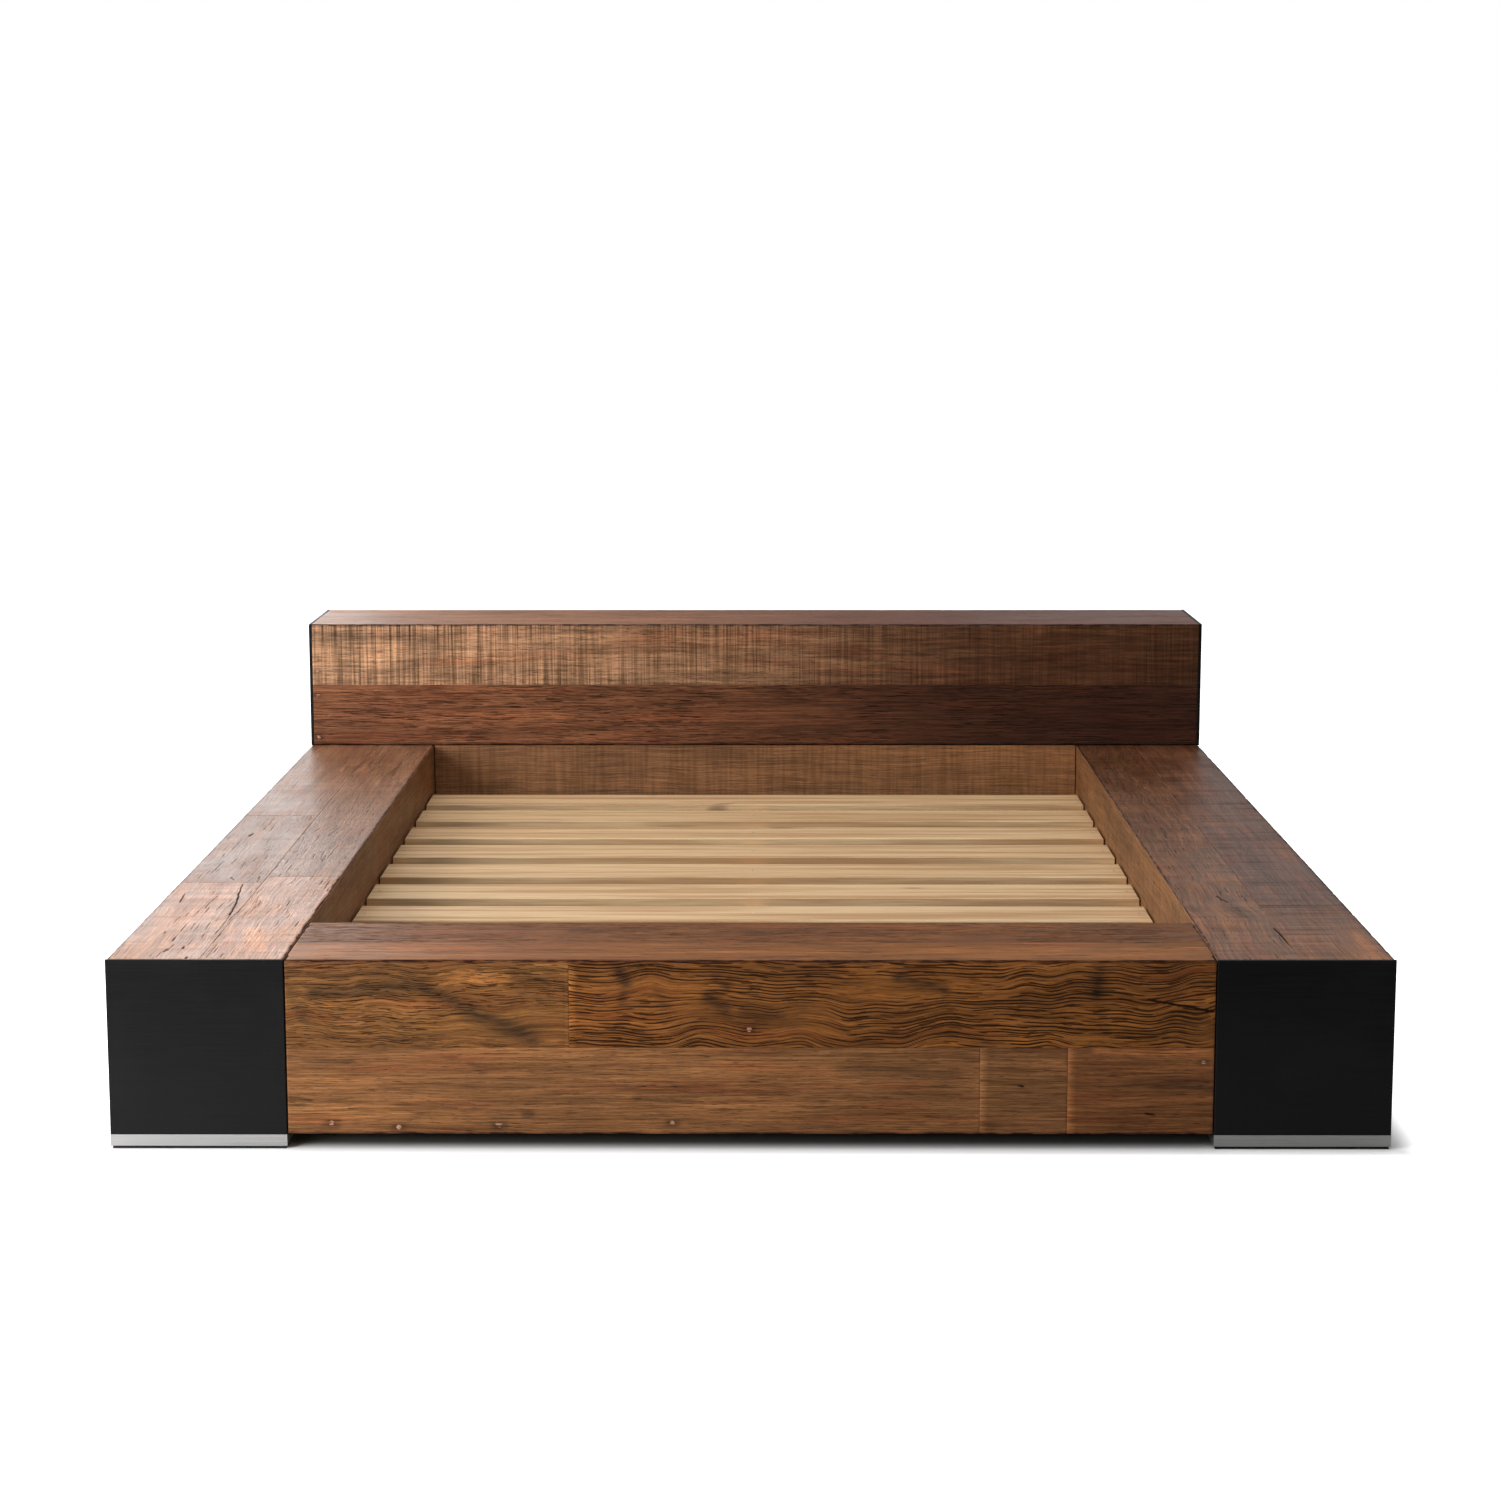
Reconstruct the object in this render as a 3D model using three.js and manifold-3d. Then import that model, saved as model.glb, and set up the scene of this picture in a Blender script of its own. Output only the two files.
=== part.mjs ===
// A low platform bed frame in reclaimed timber, as a three.js scene of separate pieces.
// Two hollow box beams lie along the sides, a front rail and a rear rail stand between them, and a headboard
// beam lies across their rear ends. Slats on two ledgers and a centre beam carry the mattress in the well.
// Units are millimetres. +X is to the right of somebody facing the headboard, +Y is towards the headboard,
// +Z is up, and the origin is on the floor under the middle of the frame.
import * as THREE from "three";
import { mergeVertices } from "three/addons/utils/BufferGeometryUtils.js";
import Module from "manifold-3d";

// Driving dimensions.
const MATTRESS_WIDTH = 1524;
const MATTRESS_LENGTH = 2032;
const SIDE_CLEARANCE = 34; // between the mattress and each side beam
const END_CLEARANCE = 14; // between the mattress and each end of the well
const WELL_DEPTH = 110; // from the top of the beams down to the slats
const BEAM_WIDTH = 304; // each side beam
const BEAM_HEIGHT = 307; // side beams and both rails
const RAIL_DEPTH = 304; // the front rail, from its face to the well
const HEADBOARD_HEIGHT = 302;
const HEADBOARD_DEPTH = 325;
const BOARD = 22; // solid boards of the beams, thick
const PANEL = 18; // plywood panels, thick
const CAP = 7; // black end caps, thick
const PLINTH_HEIGHT = 20;
const PLINTH_TUBE = 25; // width of the plinth's tube, seen from above
const PLINTH_WALL = 2;
const PAD_THICKNESS = 5;
const PAD_INSET = 3; // from each edge of the plinth's tube
const EASED_EDGE = 2; // chamfer along the corners of the beams
const SLAT_COUNT = 9;
const SLAT_WIDTH = 140;
const SLAT_THICKNESS = 20;
const LEDGER = 40; // square section of the two ledgers
const CENTRE_BEAM_WIDTH = 45;
const CENTRE_BEAM_HEIGHT = 80;
const LEG_RADIUS = 19;
const LEG_WALL = 2.5;
const LEG_PLATE_LENGTH = 100; // mounting plate at the top of a leg, as wide as the centre beam
const LEG_PLATE_THICKNESS = 4;
const BRACKET_LEG = 60; // width of each leg of a corner bracket
const BRACKET_THICKNESS = 5;

// Where the boards of one row meet, edge to edge or end to end. The reclaimed boards have chance lengths.
const SIDE_TOP_SEAM = 161; // from the outer face of a side beam
const RAIL_TOP_SEAM = 140; // from the face of the front rail
const LEFT_TOP_OUTER_JOINT = 664; // from the front of the frame
const LEFT_TOP_INNER_JOINT = 721;
const RIGHT_TOP_OUTER_JOINT = 452;
const FACE_UPPER_LEFT_LENGTH = 484;
const FACE_LOWER_MIDDLE_LENGTH = 150;
const FACE_LOWER_RIGHT_LENGTH = 250;

// Clearances and small sizes that several pieces share.
const GLUE_LINE = 0.3; // between pieces that touch
const RAIL_GAP = 2.5; // open joint between the end of a rail and a side beam
const SLAT_END_CLEARANCE = 4;
const BRACKET_CLEARANCE = 12; // from the top of a corner bracket to the ledger above it
const SLAT_BEVEL = 2; // also the countersink of a slat's screw holes
const CAP_BEVEL = 1;
const BOLT_HOLE_RADIUS = 4.5;
const SCREW_HOLE_RADIUS = 2.5;
const SCREW_HOLE_INSET = 10; // from the edges of a leg's plate
const VENT_RADIUS = 4; // holes in the inner wall of the plinth's tube
const VENT_COUNT = 4; // along each long side of a plinth
const HOLE_SIDES = 12;
const ROUND_SIDES = 32;

// Everything below is worked out from the values above.
const WELL_WIDTH = MATTRESS_WIDTH + 2 * SIDE_CLEARANCE;
const WELL_LENGTH = MATTRESS_LENGTH + 2 * END_CLEARANCE;
const WIDTH = WELL_WIDTH + 2 * BEAM_WIDTH;
const LENGTH = RAIL_DEPTH + WELL_LENGTH + HEADBOARD_DEPTH;
const FRONT = -LENGTH / 2;
const REAR = LENGTH / 2;
const WELL_FRONT = FRONT + RAIL_DEPTH;
const WELL_REAR = REAR - HEADBOARD_DEPTH;
const BEAM_BASE = PAD_THICKNESS + PLINTH_HEIGHT + 2 * GLUE_LINE;
const BEAM_TOP = BEAM_BASE + BEAM_HEIGHT;
const SLAT_TOP = BEAM_TOP - WELL_DEPTH;
const LEDGER_TOP = SLAT_TOP - SLAT_THICKNESS - GLUE_LINE;
const LEDGER_BASE = LEDGER_TOP - LEDGER;
const SIDES = { left: -1, right: 1 };

const MATERIALS = {
  reclaimed_wood: new THREE.MeshStandardMaterial({ color: 0x8a5a35, roughness: 0.55, metalness: 0 }),
  plywood: new THREE.MeshStandardMaterial({ color: 0xb08a5c, roughness: 0.8, metalness: 0 }),
  slat_wood: new THREE.MeshStandardMaterial({ color: 0xc9a878, roughness: 0.7, metalness: 0 }),
  black_lacquer: new THREE.MeshStandardMaterial({ color: 0x141415, roughness: 0.35, metalness: 0 }),
  stainless_steel: new THREE.MeshStandardMaterial({ color: 0xbfc1c2, roughness: 0.3, metalness: 1 }),
  rubber: new THREE.MeshStandardMaterial({ color: 0x121212, roughness: 0.9, metalness: 0 }),
  black_steel: new THREE.MeshStandardMaterial({ color: 0x26272a, roughness: 0.5, metalness: 0.8 }),
};

const wasm = await Module();
wasm.setup();

// ---- Geometry helpers ----

function shapeOf(points, holes = []) {
  const shape = new THREE.Shape(points.map(([a, b]) => new THREE.Vector2(a, b)));
  shape.holes = holes;
  return shape;
}

function extruded(shape, length, bevel = 0) {
  return new THREE.ExtrudeGeometry(shape, {
    depth: length - 2 * bevel,
    bevelEnabled: bevel > 0,
    bevelThickness: bevel,
    bevelSize: bevel,
    bevelOffset: -bevel,
    bevelSegments: 1,
    curveSegments: HOLE_SIDES / 2,
  }).translate(0, 0, bevel);
}

// A prism from x = 0 to x = length, over a section given in y and z.
function alongX(section, length) {
  const axes = new THREE.Matrix4().makeBasis(
    new THREE.Vector3(0, 1, 0),
    new THREE.Vector3(0, 0, 1),
    new THREE.Vector3(1, 0, 0),
  );
  return extruded(shapeOf(section), length).applyMatrix4(axes);
}

// A prism from y = 0 to y = length, over a section given in x and z.
function alongY(section, length, bevel = 0) {
  return extruded(shapeOf(section), length, bevel).rotateX(Math.PI / 2).translate(0, length, 0);
}

// A prism from z = 0 to z = height, over an outline given in x and y.
function alongZ(outline, height, { holes = [], bevel = 0 } = {}) {
  return extruded(shapeOf(outline, holes), height, bevel);
}

// A rectangle centred on u = 0, from v = 0 up.
function upright(width, height) {
  return [[-width / 2, 0], [width / 2, 0], [width / 2, height], [-width / 2, height]];
}

function rectangle(width, depth) {
  return [
    [-width / 2, -depth / 2],
    [width / 2, -depth / 2],
    [width / 2, depth / 2],
    [-width / 2, depth / 2],
  ];
}

function roundHole(x, y, radius) {
  const hole = new THREE.Path();
  hole.absarc(x, y, radius, 0, 2 * Math.PI, true);
  return hole;
}

function rectangularHole(width, depth) {
  return new THREE.Path(rectangle(width, depth).map(([x, y]) => new THREE.Vector2(x, y)));
}

// A rod of that radius and length, centred on a point, along "x", "y" or "z".
function rod(axis, radius, length, [x, y, z], sides = HOLE_SIDES) {
  const geometry = new THREE.CylinderGeometry(radius, radius, length, sides);
  if (axis === "x") geometry.rotateZ(Math.PI / 2);
  if (axis === "z") geometry.rotateX(Math.PI / 2);
  return geometry.translate(x, y, z);
}

function solidOf(geometry) {
  const bare = geometry.clone();
  bare.deleteAttribute("normal");
  bare.deleteAttribute("uv");
  const merged = mergeVertices(bare, 1e-3);
  return new wasm.Manifold(
    new wasm.Mesh({
      numProp: 3,
      vertProperties: merged.attributes.position.array,
      triVerts: new Uint32Array(merged.index.array),
    }),
  );
}

function geometryOf(solid) {
  const mesh = solid.getMesh();
  const geometry = new THREE.BufferGeometry();
  geometry.setAttribute("position", new THREE.BufferAttribute(mesh.vertProperties, 3));
  geometry.setIndex(new THREE.BufferAttribute(mesh.triVerts, 1));
  geometry.computeVertexNormals();
  return geometry;
}

function cut(geometry, tools) {
  return geometryOf(tools.reduce((solid, tool) => solid.subtract(solidOf(tool)), solidOf(geometry)));
}

function joined(...geometries) {
  return geometryOf(geometries.map(solidOf).reduce((all, solid) => all.add(solid)));
}

function piece(name, material, geometry, [x, y, z] = [0, 0, 0]) {
  const mesh = new THREE.Mesh(geometry, MATERIALS[material]);
  mesh.name = name;
  mesh.position.set(x, y, z);
  return mesh;
}

// The boards of one row along a beam, which meet end to end at the joints, each a distance from the row's
// start. make gives one board from its name, its start and its length.
function boardRow(name, labels, joints, length, make) {
  const ends = [-GLUE_LINE / 2, ...joints, length + GLUE_LINE / 2];
  return labels.map((label, i) => {
    const from = ends[i] + GLUE_LINE / 2;
    const to = ends[i + 1] - GLUE_LINE / 2;
    return make(`${name}_${label}board`, from, to - from);
  });
}

// ---- Box beams ----

// The sections of a box beam whose top corners are mitred and eased. u runs across from the clad face at
// u = 0, and v runs up. topSeam is where the two top boards meet, and faceSeam is where the two face
// boards meet.
function beamSections({ width, height, topSeam, faceSeam }) {
  const half = GLUE_LINE / 2;
  const eased = (EASED_EDGE + GLUE_LINE) / 2;
  const easedLow = (EASED_EDGE - GLUE_LINE) / 2;
  const topHalf = (from, seam, away) => [
    [from + away * EASED_EDGE, height],
    [seam - away * half, height],
    [seam - away * half, height - BOARD],
    [from + away * (BOARD + GLUE_LINE), height - BOARD],
    [from + away * eased, height - easedLow],
  ];
  const side = (from, away, bottom) => [
    [from, height - EASED_EDGE],
    [from + away * easedLow, height - eased],
    [from + away * BOARD, height - BOARD - GLUE_LINE],
    [from + away * BOARD, bottom],
    [from, bottom],
  ];
  return {
    topNear: topHalf(0, topSeam, 1),
    topFar: topHalf(width, topSeam, -1),
    faceUpper: side(0, 1, faceSeam + half),
    faceLower: [[EASED_EDGE, 0], [BOARD, 0], [BOARD, faceSeam - half], [0, faceSeam - half], [0, EASED_EDGE]],
    back: side(width, -1, 0),
    bottom: [
      [BOARD + GLUE_LINE, 0],
      [width - BOARD - GLUE_LINE, 0],
      [width - BOARD - GLUE_LINE, PANEL],
      [BOARD + GLUE_LINE, PANEL],
    ],
  };
}

// A cap that closes the end of a beam, eased round its edges.
function capAlongY(width, height) {
  return alongY(upright(width, height), CAP, CAP_BEVEL);
}

// ---- Where bolts go: one list for the brackets and for the boards that they clamp ----

const BRACKET_BASE = BEAM_BASE + PANEL;
const BRACKET_HEIGHT = LEDGER_BASE - BRACKET_CLEARANCE - BRACKET_BASE;
const BOLT_HEIGHTS = [0.25, 0.75].map((share) => BRACKET_BASE + share * BRACKET_HEIGHT);
const BOLT_FROM_CORNER = BRACKET_LEG * 0.6;
const WELL_ENDS = { front: 1, rear: -1 }; // which way the well lies from each of its ends
const WELL_END_Y = { front: WELL_FRONT, rear: WELL_REAR };

// ---- Side beams ----

// The joints in each top row of a side beam, and what its boards are called.
const TOP_ROWS = {
  left: { outer: [LEFT_TOP_OUTER_JOINT], inner: [LEFT_TOP_INNER_JOINT] },
  right: { outer: [RIGHT_TOP_OUTER_JOINT], inner: [] },
};
const TOP_LABELS = [[""], ["front_", "rear_"]]; // for a row of one board, and of two

function sideBeam(name, side) {
  const group = new THREE.Group();
  const outerX = (side * WIDTH) / 2;
  const start = FRONT + CAP + GLUE_LINE;
  const length = LENGTH - 2 * (CAP + GLUE_LINE);
  const sections = beamSections({
    width: BEAM_WIDTH,
    height: BEAM_HEIGHT,
    topSeam: SIDE_TOP_SEAM,
    faceSeam: BEAM_HEIGHT / 2,
  });
  const prism = (section, boardLength) =>
    alongY(sections[section].map(([u, v]) => [-side * u, v]), boardLength);
  const topRow = (row, section) => {
    const joints = TOP_ROWS[name][row].map((fromFront) => FRONT + fromFront - start);
    const make = (board, from, along) =>
      piece(board, "reclaimed_wood", prism(section, along), [outerX, start + from, BEAM_BASE]);
    return boardRow(`${name}_beam_top_${row}`, TOP_LABELS[joints.length], joints, length, make);
  };
  const place = [outerX, start, BEAM_BASE];
  const boltHoles = Object.entries(WELL_ENDS).flatMap(([end, away]) =>
    BOLT_HEIGHTS.map((z) => {
      const y = WELL_END_Y[end] + away * BOLT_FROM_CORNER - start;
      return rod("x", BOLT_HOLE_RADIUS, 3 * BOARD, [-side * BEAM_WIDTH, y, z - BEAM_BASE]);
    }),
  );
  const centreX = (side * (WIDTH - BEAM_WIDTH)) / 2;
  const cap = (end, y) => {
    const geometry = capAlongY(BEAM_WIDTH, BEAM_HEIGHT);
    return piece(`${name}_beam_${end}_cap`, "black_lacquer", geometry, [centreX, y, BEAM_BASE]);
  };

  group.add(
    ...topRow("outer", "topNear"),
    ...topRow("inner", "topFar"),
    piece(`${name}_beam_side_upper_board`, "reclaimed_wood", prism("faceUpper", length), place),
    piece(`${name}_beam_side_lower_board`, "reclaimed_wood", prism("faceLower", length), place),
    piece(`${name}_beam_inner_board`, "reclaimed_wood", cut(prism("back", length), boltHoles), place),
    piece(`${name}_beam_bottom_panel`, "plywood", prism("bottom", length), place),
    cap("front", FRONT),
    cap("rear", REAR - CAP),
    piece(`${name}_plinth`, "stainless_steel", plinth(), [centreX, 0, PAD_THICKNESS + GLUE_LINE]),
    piece(`${name}_plinth_pad`, "rubber", plinthPad(), [centreX, 0, 0]),
  );
  return group;
}

// A ring of rectangular tube under a whole side beam, vented through its inner wall.
function plinth() {
  const ring = (inset, height) =>
    alongZ(rectangle(BEAM_WIDTH - 2 * inset, LENGTH - 2 * inset), height, {
      holes: [
        rectangularHole(
          BEAM_WIDTH - 2 * PLINTH_TUBE + 2 * inset,
          LENGTH - 2 * PLINTH_TUBE + 2 * inset,
        ),
      ],
    });
  const hollow = ring(PLINTH_WALL, PLINTH_HEIGHT - 2 * PLINTH_WALL).translate(0, 0, PLINTH_WALL);
  const vents = [-1, 1].flatMap((side) =>
    Array.from({ length: VENT_COUNT }, (_, i) => {
      const x = side * (BEAM_WIDTH / 2 - PLINTH_TUBE + PLINTH_WALL / 2);
      const y = ((i + 0.5) / VENT_COUNT - 0.5) * (LENGTH - 2 * PLINTH_TUBE);
      return rod("x", VENT_RADIUS, 2 * PLINTH_WALL, [x, y, PLINTH_HEIGHT / 2]);
    }),
  );
  return cut(ring(0, PLINTH_HEIGHT), [hollow, ...vents]);
}

// The ring of rubber that the plinth stands on.
function plinthPad() {
  const width = PLINTH_TUBE - 2 * PAD_INSET;
  const outer = [BEAM_WIDTH - 2 * PAD_INSET, LENGTH - 2 * PAD_INSET];
  return alongZ(rectangle(...outer), PAD_THICKNESS, {
    holes: [rectangularHole(outer[0] - 2 * width, outer[1] - 2 * width)],
  });
}

// ---- Rails and headboard ----

// Holes for the bolts of the two brackets at one end of the well, in a board that starts at startX and has
// the brackets on its face at faceY.
function railBoltHoles(startX, faceY) {
  return Object.values(SIDES).flatMap((side) =>
    BOLT_HEIGHTS.map((z) => {
      const x = side * (WELL_WIDTH / 2 - BOLT_FROM_CORNER) - startX;
      return rod("y", BOLT_HOLE_RADIUS, 3 * BOARD, [x, faceY, z - BEAM_BASE]);
    }),
  );
}

function frontRail() {
  const group = new THREE.Group();
  const length = WELL_WIDTH - 2 * RAIL_GAP;
  const left = -length / 2;
  const sections = beamSections({
    width: RAIL_DEPTH,
    height: BEAM_HEIGHT,
    topSeam: RAIL_TOP_SEAM,
    faceSeam: BEAM_HEIGHT / 2,
  });
  const place = [left, FRONT, BEAM_BASE];
  const whole = (section) => alongX(sections[section], length);
  const faceRow = (row, labels, joints, section) => {
    const make = (board, from, along) =>
      piece(board, "reclaimed_wood", alongX(sections[section], along), [left + from, FRONT, BEAM_BASE]);
    return boardRow(`front_rail_face_${row}`, labels, joints, length, make);
  };
  const lowerRight = length - FACE_LOWER_RIGHT_LENGTH;
  group.add(
    piece("front_rail_top_front_board", "reclaimed_wood", whole("topNear"), place),
    piece("front_rail_top_rear_board", "reclaimed_wood", whole("topFar"), place),
    ...faceRow("upper", ["left_", "right_"], [FACE_UPPER_LEFT_LENGTH], "faceUpper"),
    ...faceRow(
      "lower",
      ["left_", "middle_", "right_"],
      [lowerRight - FACE_LOWER_MIDDLE_LENGTH, lowerRight],
      "faceLower",
    ),
    piece(
      "front_rail_inner_board",
      "reclaimed_wood",
      cut(whole("back"), railBoltHoles(left, RAIL_DEPTH)),
      place,
    ),
    piece("front_rail_bottom_panel", "plywood", whole("bottom"), place),
  );
  return group;
}

// Two boards on edge under the headboard, one in line with its face and one in line with its back.
function rearRail() {
  const group = new THREE.Group();
  const length = WELL_WIDTH - 2 * RAIL_GAP;
  const section = [[0, 0], [BOARD, 0], [BOARD, BEAM_HEIGHT], [0, BEAM_HEIGHT]];
  group.add(
    piece(
      "rear_rail_inner_board",
      "reclaimed_wood",
      cut(alongX(section, length), railBoltHoles(-length / 2, 0)),
      [-length / 2, WELL_REAR, BEAM_BASE],
    ),
    piece("rear_rail_back_board", "reclaimed_wood", alongX(section, length), [
      -length / 2,
      REAR - BOARD,
      BEAM_BASE,
    ]),
  );
  return group;
}

function headboard() {
  const group = new THREE.Group();
  const length = WIDTH - 2 * (CAP + GLUE_LINE);
  const base = BEAM_TOP + GLUE_LINE;
  const place = [-length / 2, WELL_REAR, base];
  const sections = beamSections({
    width: HEADBOARD_DEPTH,
    height: HEADBOARD_HEIGHT,
    topSeam: HEADBOARD_DEPTH / 2,
    faceSeam: HEADBOARD_HEIGHT / 2,
  });
  const board = (section) => alongX(sections[section], length);
  const cap = () => capAlongY(HEADBOARD_DEPTH, HEADBOARD_HEIGHT).rotateZ(Math.PI / 2);
  const centreY = WELL_REAR + HEADBOARD_DEPTH / 2;
  group.add(
    piece("headboard_top_front_board", "reclaimed_wood", board("topNear"), place),
    piece("headboard_top_rear_board", "reclaimed_wood", board("topFar"), place),
    piece("headboard_face_upper_board", "reclaimed_wood", board("faceUpper"), place),
    piece("headboard_face_lower_board", "reclaimed_wood", board("faceLower"), place),
    piece("headboard_back_board", "reclaimed_wood", board("back"), place),
    piece("headboard_bottom_panel", "plywood", board("bottom"), place),
    piece("headboard_left_cap", "black_lacquer", cap(), [-WIDTH / 2 + CAP, centreY, base]),
    piece("headboard_right_cap", "black_lacquer", cap(), [WIDTH / 2, centreY, base]),
  );
  return group;
}

// ---- What carries the mattress ----

// Equal gaps between the slats and at both ends of the well.
const SLAT_GAP = (WELL_LENGTH - SLAT_COUNT * SLAT_WIDTH) / (SLAT_COUNT + 1);
const SLAT_CENTRES = Array.from(
  { length: SLAT_COUNT },
  (_, i) => WELL_FRONT + (i + 1) * SLAT_GAP + (i + 0.5) * SLAT_WIDTH,
);

function slats() {
  const group = new THREE.Group();
  const length = WELL_WIDTH - 2 * SLAT_END_CLEARANCE;
  const ledgerCentre = (WELL_WIDTH - LEDGER) / 2 - GLUE_LINE;
  SLAT_CENTRES.forEach((y, i) => {
    const holes = [-ledgerCentre, 0, ledgerCentre].map((x) => roundHole(x, 0, SCREW_HOLE_RADIUS));
    const geometry = alongZ(rectangle(length, SLAT_WIDTH), SLAT_THICKNESS, { holes, bevel: SLAT_BEVEL });
    const number = String(i + 1).padStart(2, "0");
    group.add(piece(`slat_${number}`, "slat_wood", geometry, [0, y, SLAT_TOP - SLAT_THICKNESS]));
  });
  return group;
}

function ledger(name, side) {
  const length = WELL_LENGTH - 2 * GLUE_LINE;
  const x = side * ((WELL_WIDTH - LEDGER) / 2 - GLUE_LINE);
  return piece(`${name}_ledger`, "slat_wood", alongY(upright(LEDGER, LEDGER), length), [
    x,
    WELL_FRONT + GLUE_LINE,
    LEDGER_BASE,
  ]);
}

// An angle of flat steel in a bottom corner of the well, with a pair of bolt holes in each leg.
function cornerBracket(end, name) {
  const side = SIDES[name];
  const away = WELL_ENDS[end];
  const outline = [
    [0, 0],
    [BRACKET_LEG, 0],
    [BRACKET_LEG, BRACKET_THICKNESS],
    [BRACKET_THICKNESS, BRACKET_THICKNESS],
    [BRACKET_THICKNESS, BRACKET_LEG],
    [0, BRACKET_LEG],
  ].map(([u, v]) => [-side * u, away * v]);
  const holes = BOLT_HEIGHTS.flatMap((z) => [
    rod("x", BOLT_HOLE_RADIUS, 4 * BRACKET_THICKNESS, [0, away * BOLT_FROM_CORNER, z - BRACKET_BASE]),
    rod("y", BOLT_HOLE_RADIUS, 4 * BRACKET_THICKNESS, [-side * BOLT_FROM_CORNER, 0, z - BRACKET_BASE]),
  ]);
  return piece(
    `corner_bracket_${end}_${name}`,
    "black_steel",
    cut(alongZ(outline, BRACKET_HEIGHT), holes),
    [side * (WELL_WIDTH / 2 - GLUE_LINE), WELL_END_Y[end] + away * GLUE_LINE, BRACKET_BASE],
  );
}

// The centre beam under the slats, and the legs that it stands on.
function centreSupport() {
  const group = new THREE.Group();
  const beamBase = LEDGER_TOP - CENTRE_BEAM_HEIGHT;
  const length = WELL_LENGTH - 2 * GLUE_LINE;
  group.add(
    piece(
      "centre_beam",
      "slat_wood",
      alongY(upright(CENTRE_BEAM_WIDTH, CENTRE_BEAM_HEIGHT), length),
      [0, WELL_FRONT + GLUE_LINE, beamBase],
    ),
  );
  for (const [name, share] of Object.entries({ front: 1 / 3, rear: 2 / 3 })) {
    group.add(
      piece(`centre_leg_${name}`, "black_steel", centreLeg(beamBase - GLUE_LINE), [
        0,
        WELL_FRONT + share * WELL_LENGTH,
        0,
      ]),
    );
  }
  return group;
}

// A tube, open at the floor, welded to a plate with four screw holes.
function centreLeg(height) {
  const holeX = CENTRE_BEAM_WIDTH / 2 - SCREW_HOLE_INSET;
  const holeY = LEG_PLATE_LENGTH / 2 - SCREW_HOLE_INSET;
  const screwHoles = [-1, 1].flatMap((i) =>
    [-1, 1].map((j) => roundHole(i * holeX, j * holeY, SCREW_HOLE_RADIUS)),
  );
  const underPlate = height - LEG_PLATE_THICKNESS;
  const outline = rectangle(CENTRE_BEAM_WIDTH, LEG_PLATE_LENGTH);
  const plate = alongZ(outline, LEG_PLATE_THICKNESS, { holes: screwHoles }).translate(0, 0, underPlate);
  const postHeight = height - LEG_PLATE_THICKNESS / 2;
  const post = rod("z", LEG_RADIUS, postHeight, [0, 0, postHeight / 2], ROUND_SIDES);
  const bore = rod("z", LEG_RADIUS - LEG_WALL, 2 * underPlate, [0, 0, 0], ROUND_SIDES);
  return cut(joined(plate, post), [bore]);
}

// ---- The bed frame ----

const bedFrame = new THREE.Group();
for (const [name, side] of Object.entries(SIDES)) {
  bedFrame.add(
    sideBeam(name, side),
    ledger(name, side),
    cornerBracket("front", name),
    cornerBracket("rear", name),
  );
}
bedFrame.add(frontRail(), rearRail(), headboard(), slats(), centreSupport());

export default bedFrame;
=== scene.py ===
"""The looks of a low bed frame in reclaimed timber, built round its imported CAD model.

Each board that shows is cut afresh from its CAD section as a fine mesh with worn edges, open grain and
saw marks, and it carries its grain's course and tone as attributes for the timber material. The other CAD
pieces keep their shape and get a material. Screws, bolts, plugs and weld beads are added. Everything is in
metres, +Z up.
"""

import math
import zlib

import bmesh
import bpy
import numpy as np
from mathutils import Euler, Matrix, Vector


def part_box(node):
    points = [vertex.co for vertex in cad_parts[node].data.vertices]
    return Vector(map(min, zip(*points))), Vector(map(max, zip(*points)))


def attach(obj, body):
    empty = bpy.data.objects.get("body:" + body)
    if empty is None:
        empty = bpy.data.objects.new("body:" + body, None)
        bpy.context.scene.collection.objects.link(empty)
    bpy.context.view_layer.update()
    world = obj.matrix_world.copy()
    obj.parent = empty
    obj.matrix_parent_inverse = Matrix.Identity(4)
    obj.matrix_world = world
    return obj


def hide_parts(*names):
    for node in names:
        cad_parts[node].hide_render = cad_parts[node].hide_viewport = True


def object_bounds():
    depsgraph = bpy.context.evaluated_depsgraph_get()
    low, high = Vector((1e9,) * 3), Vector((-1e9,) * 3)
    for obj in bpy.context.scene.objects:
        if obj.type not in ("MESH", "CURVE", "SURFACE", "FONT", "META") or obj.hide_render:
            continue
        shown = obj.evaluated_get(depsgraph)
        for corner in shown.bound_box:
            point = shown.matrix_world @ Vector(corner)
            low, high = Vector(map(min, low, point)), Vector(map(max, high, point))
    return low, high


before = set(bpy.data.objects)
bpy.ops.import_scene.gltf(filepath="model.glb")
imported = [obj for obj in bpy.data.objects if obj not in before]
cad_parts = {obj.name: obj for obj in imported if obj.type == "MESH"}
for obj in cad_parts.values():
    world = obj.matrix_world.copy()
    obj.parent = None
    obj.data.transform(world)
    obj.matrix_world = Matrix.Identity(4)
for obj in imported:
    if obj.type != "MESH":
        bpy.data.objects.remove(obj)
CAD_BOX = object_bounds()
MM = 0.001

# ---- Repeatable noise over arrays of coordinates ----


def lattice(ix, iy, seed):
    """A repeatable number from -1 to 1 for each lattice point."""
    mask = 0xFFFFFFFF
    mixed = (ix * 374761393 + iy * 668265263 + seed * 1274126177) & mask
    mixed = ((mixed ^ (mixed >> 13)) * 1103515245) & mask
    return ((mixed ^ (mixed >> 16)) & 0xFFFFFF) / 0x7FFFFF - 1


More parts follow.
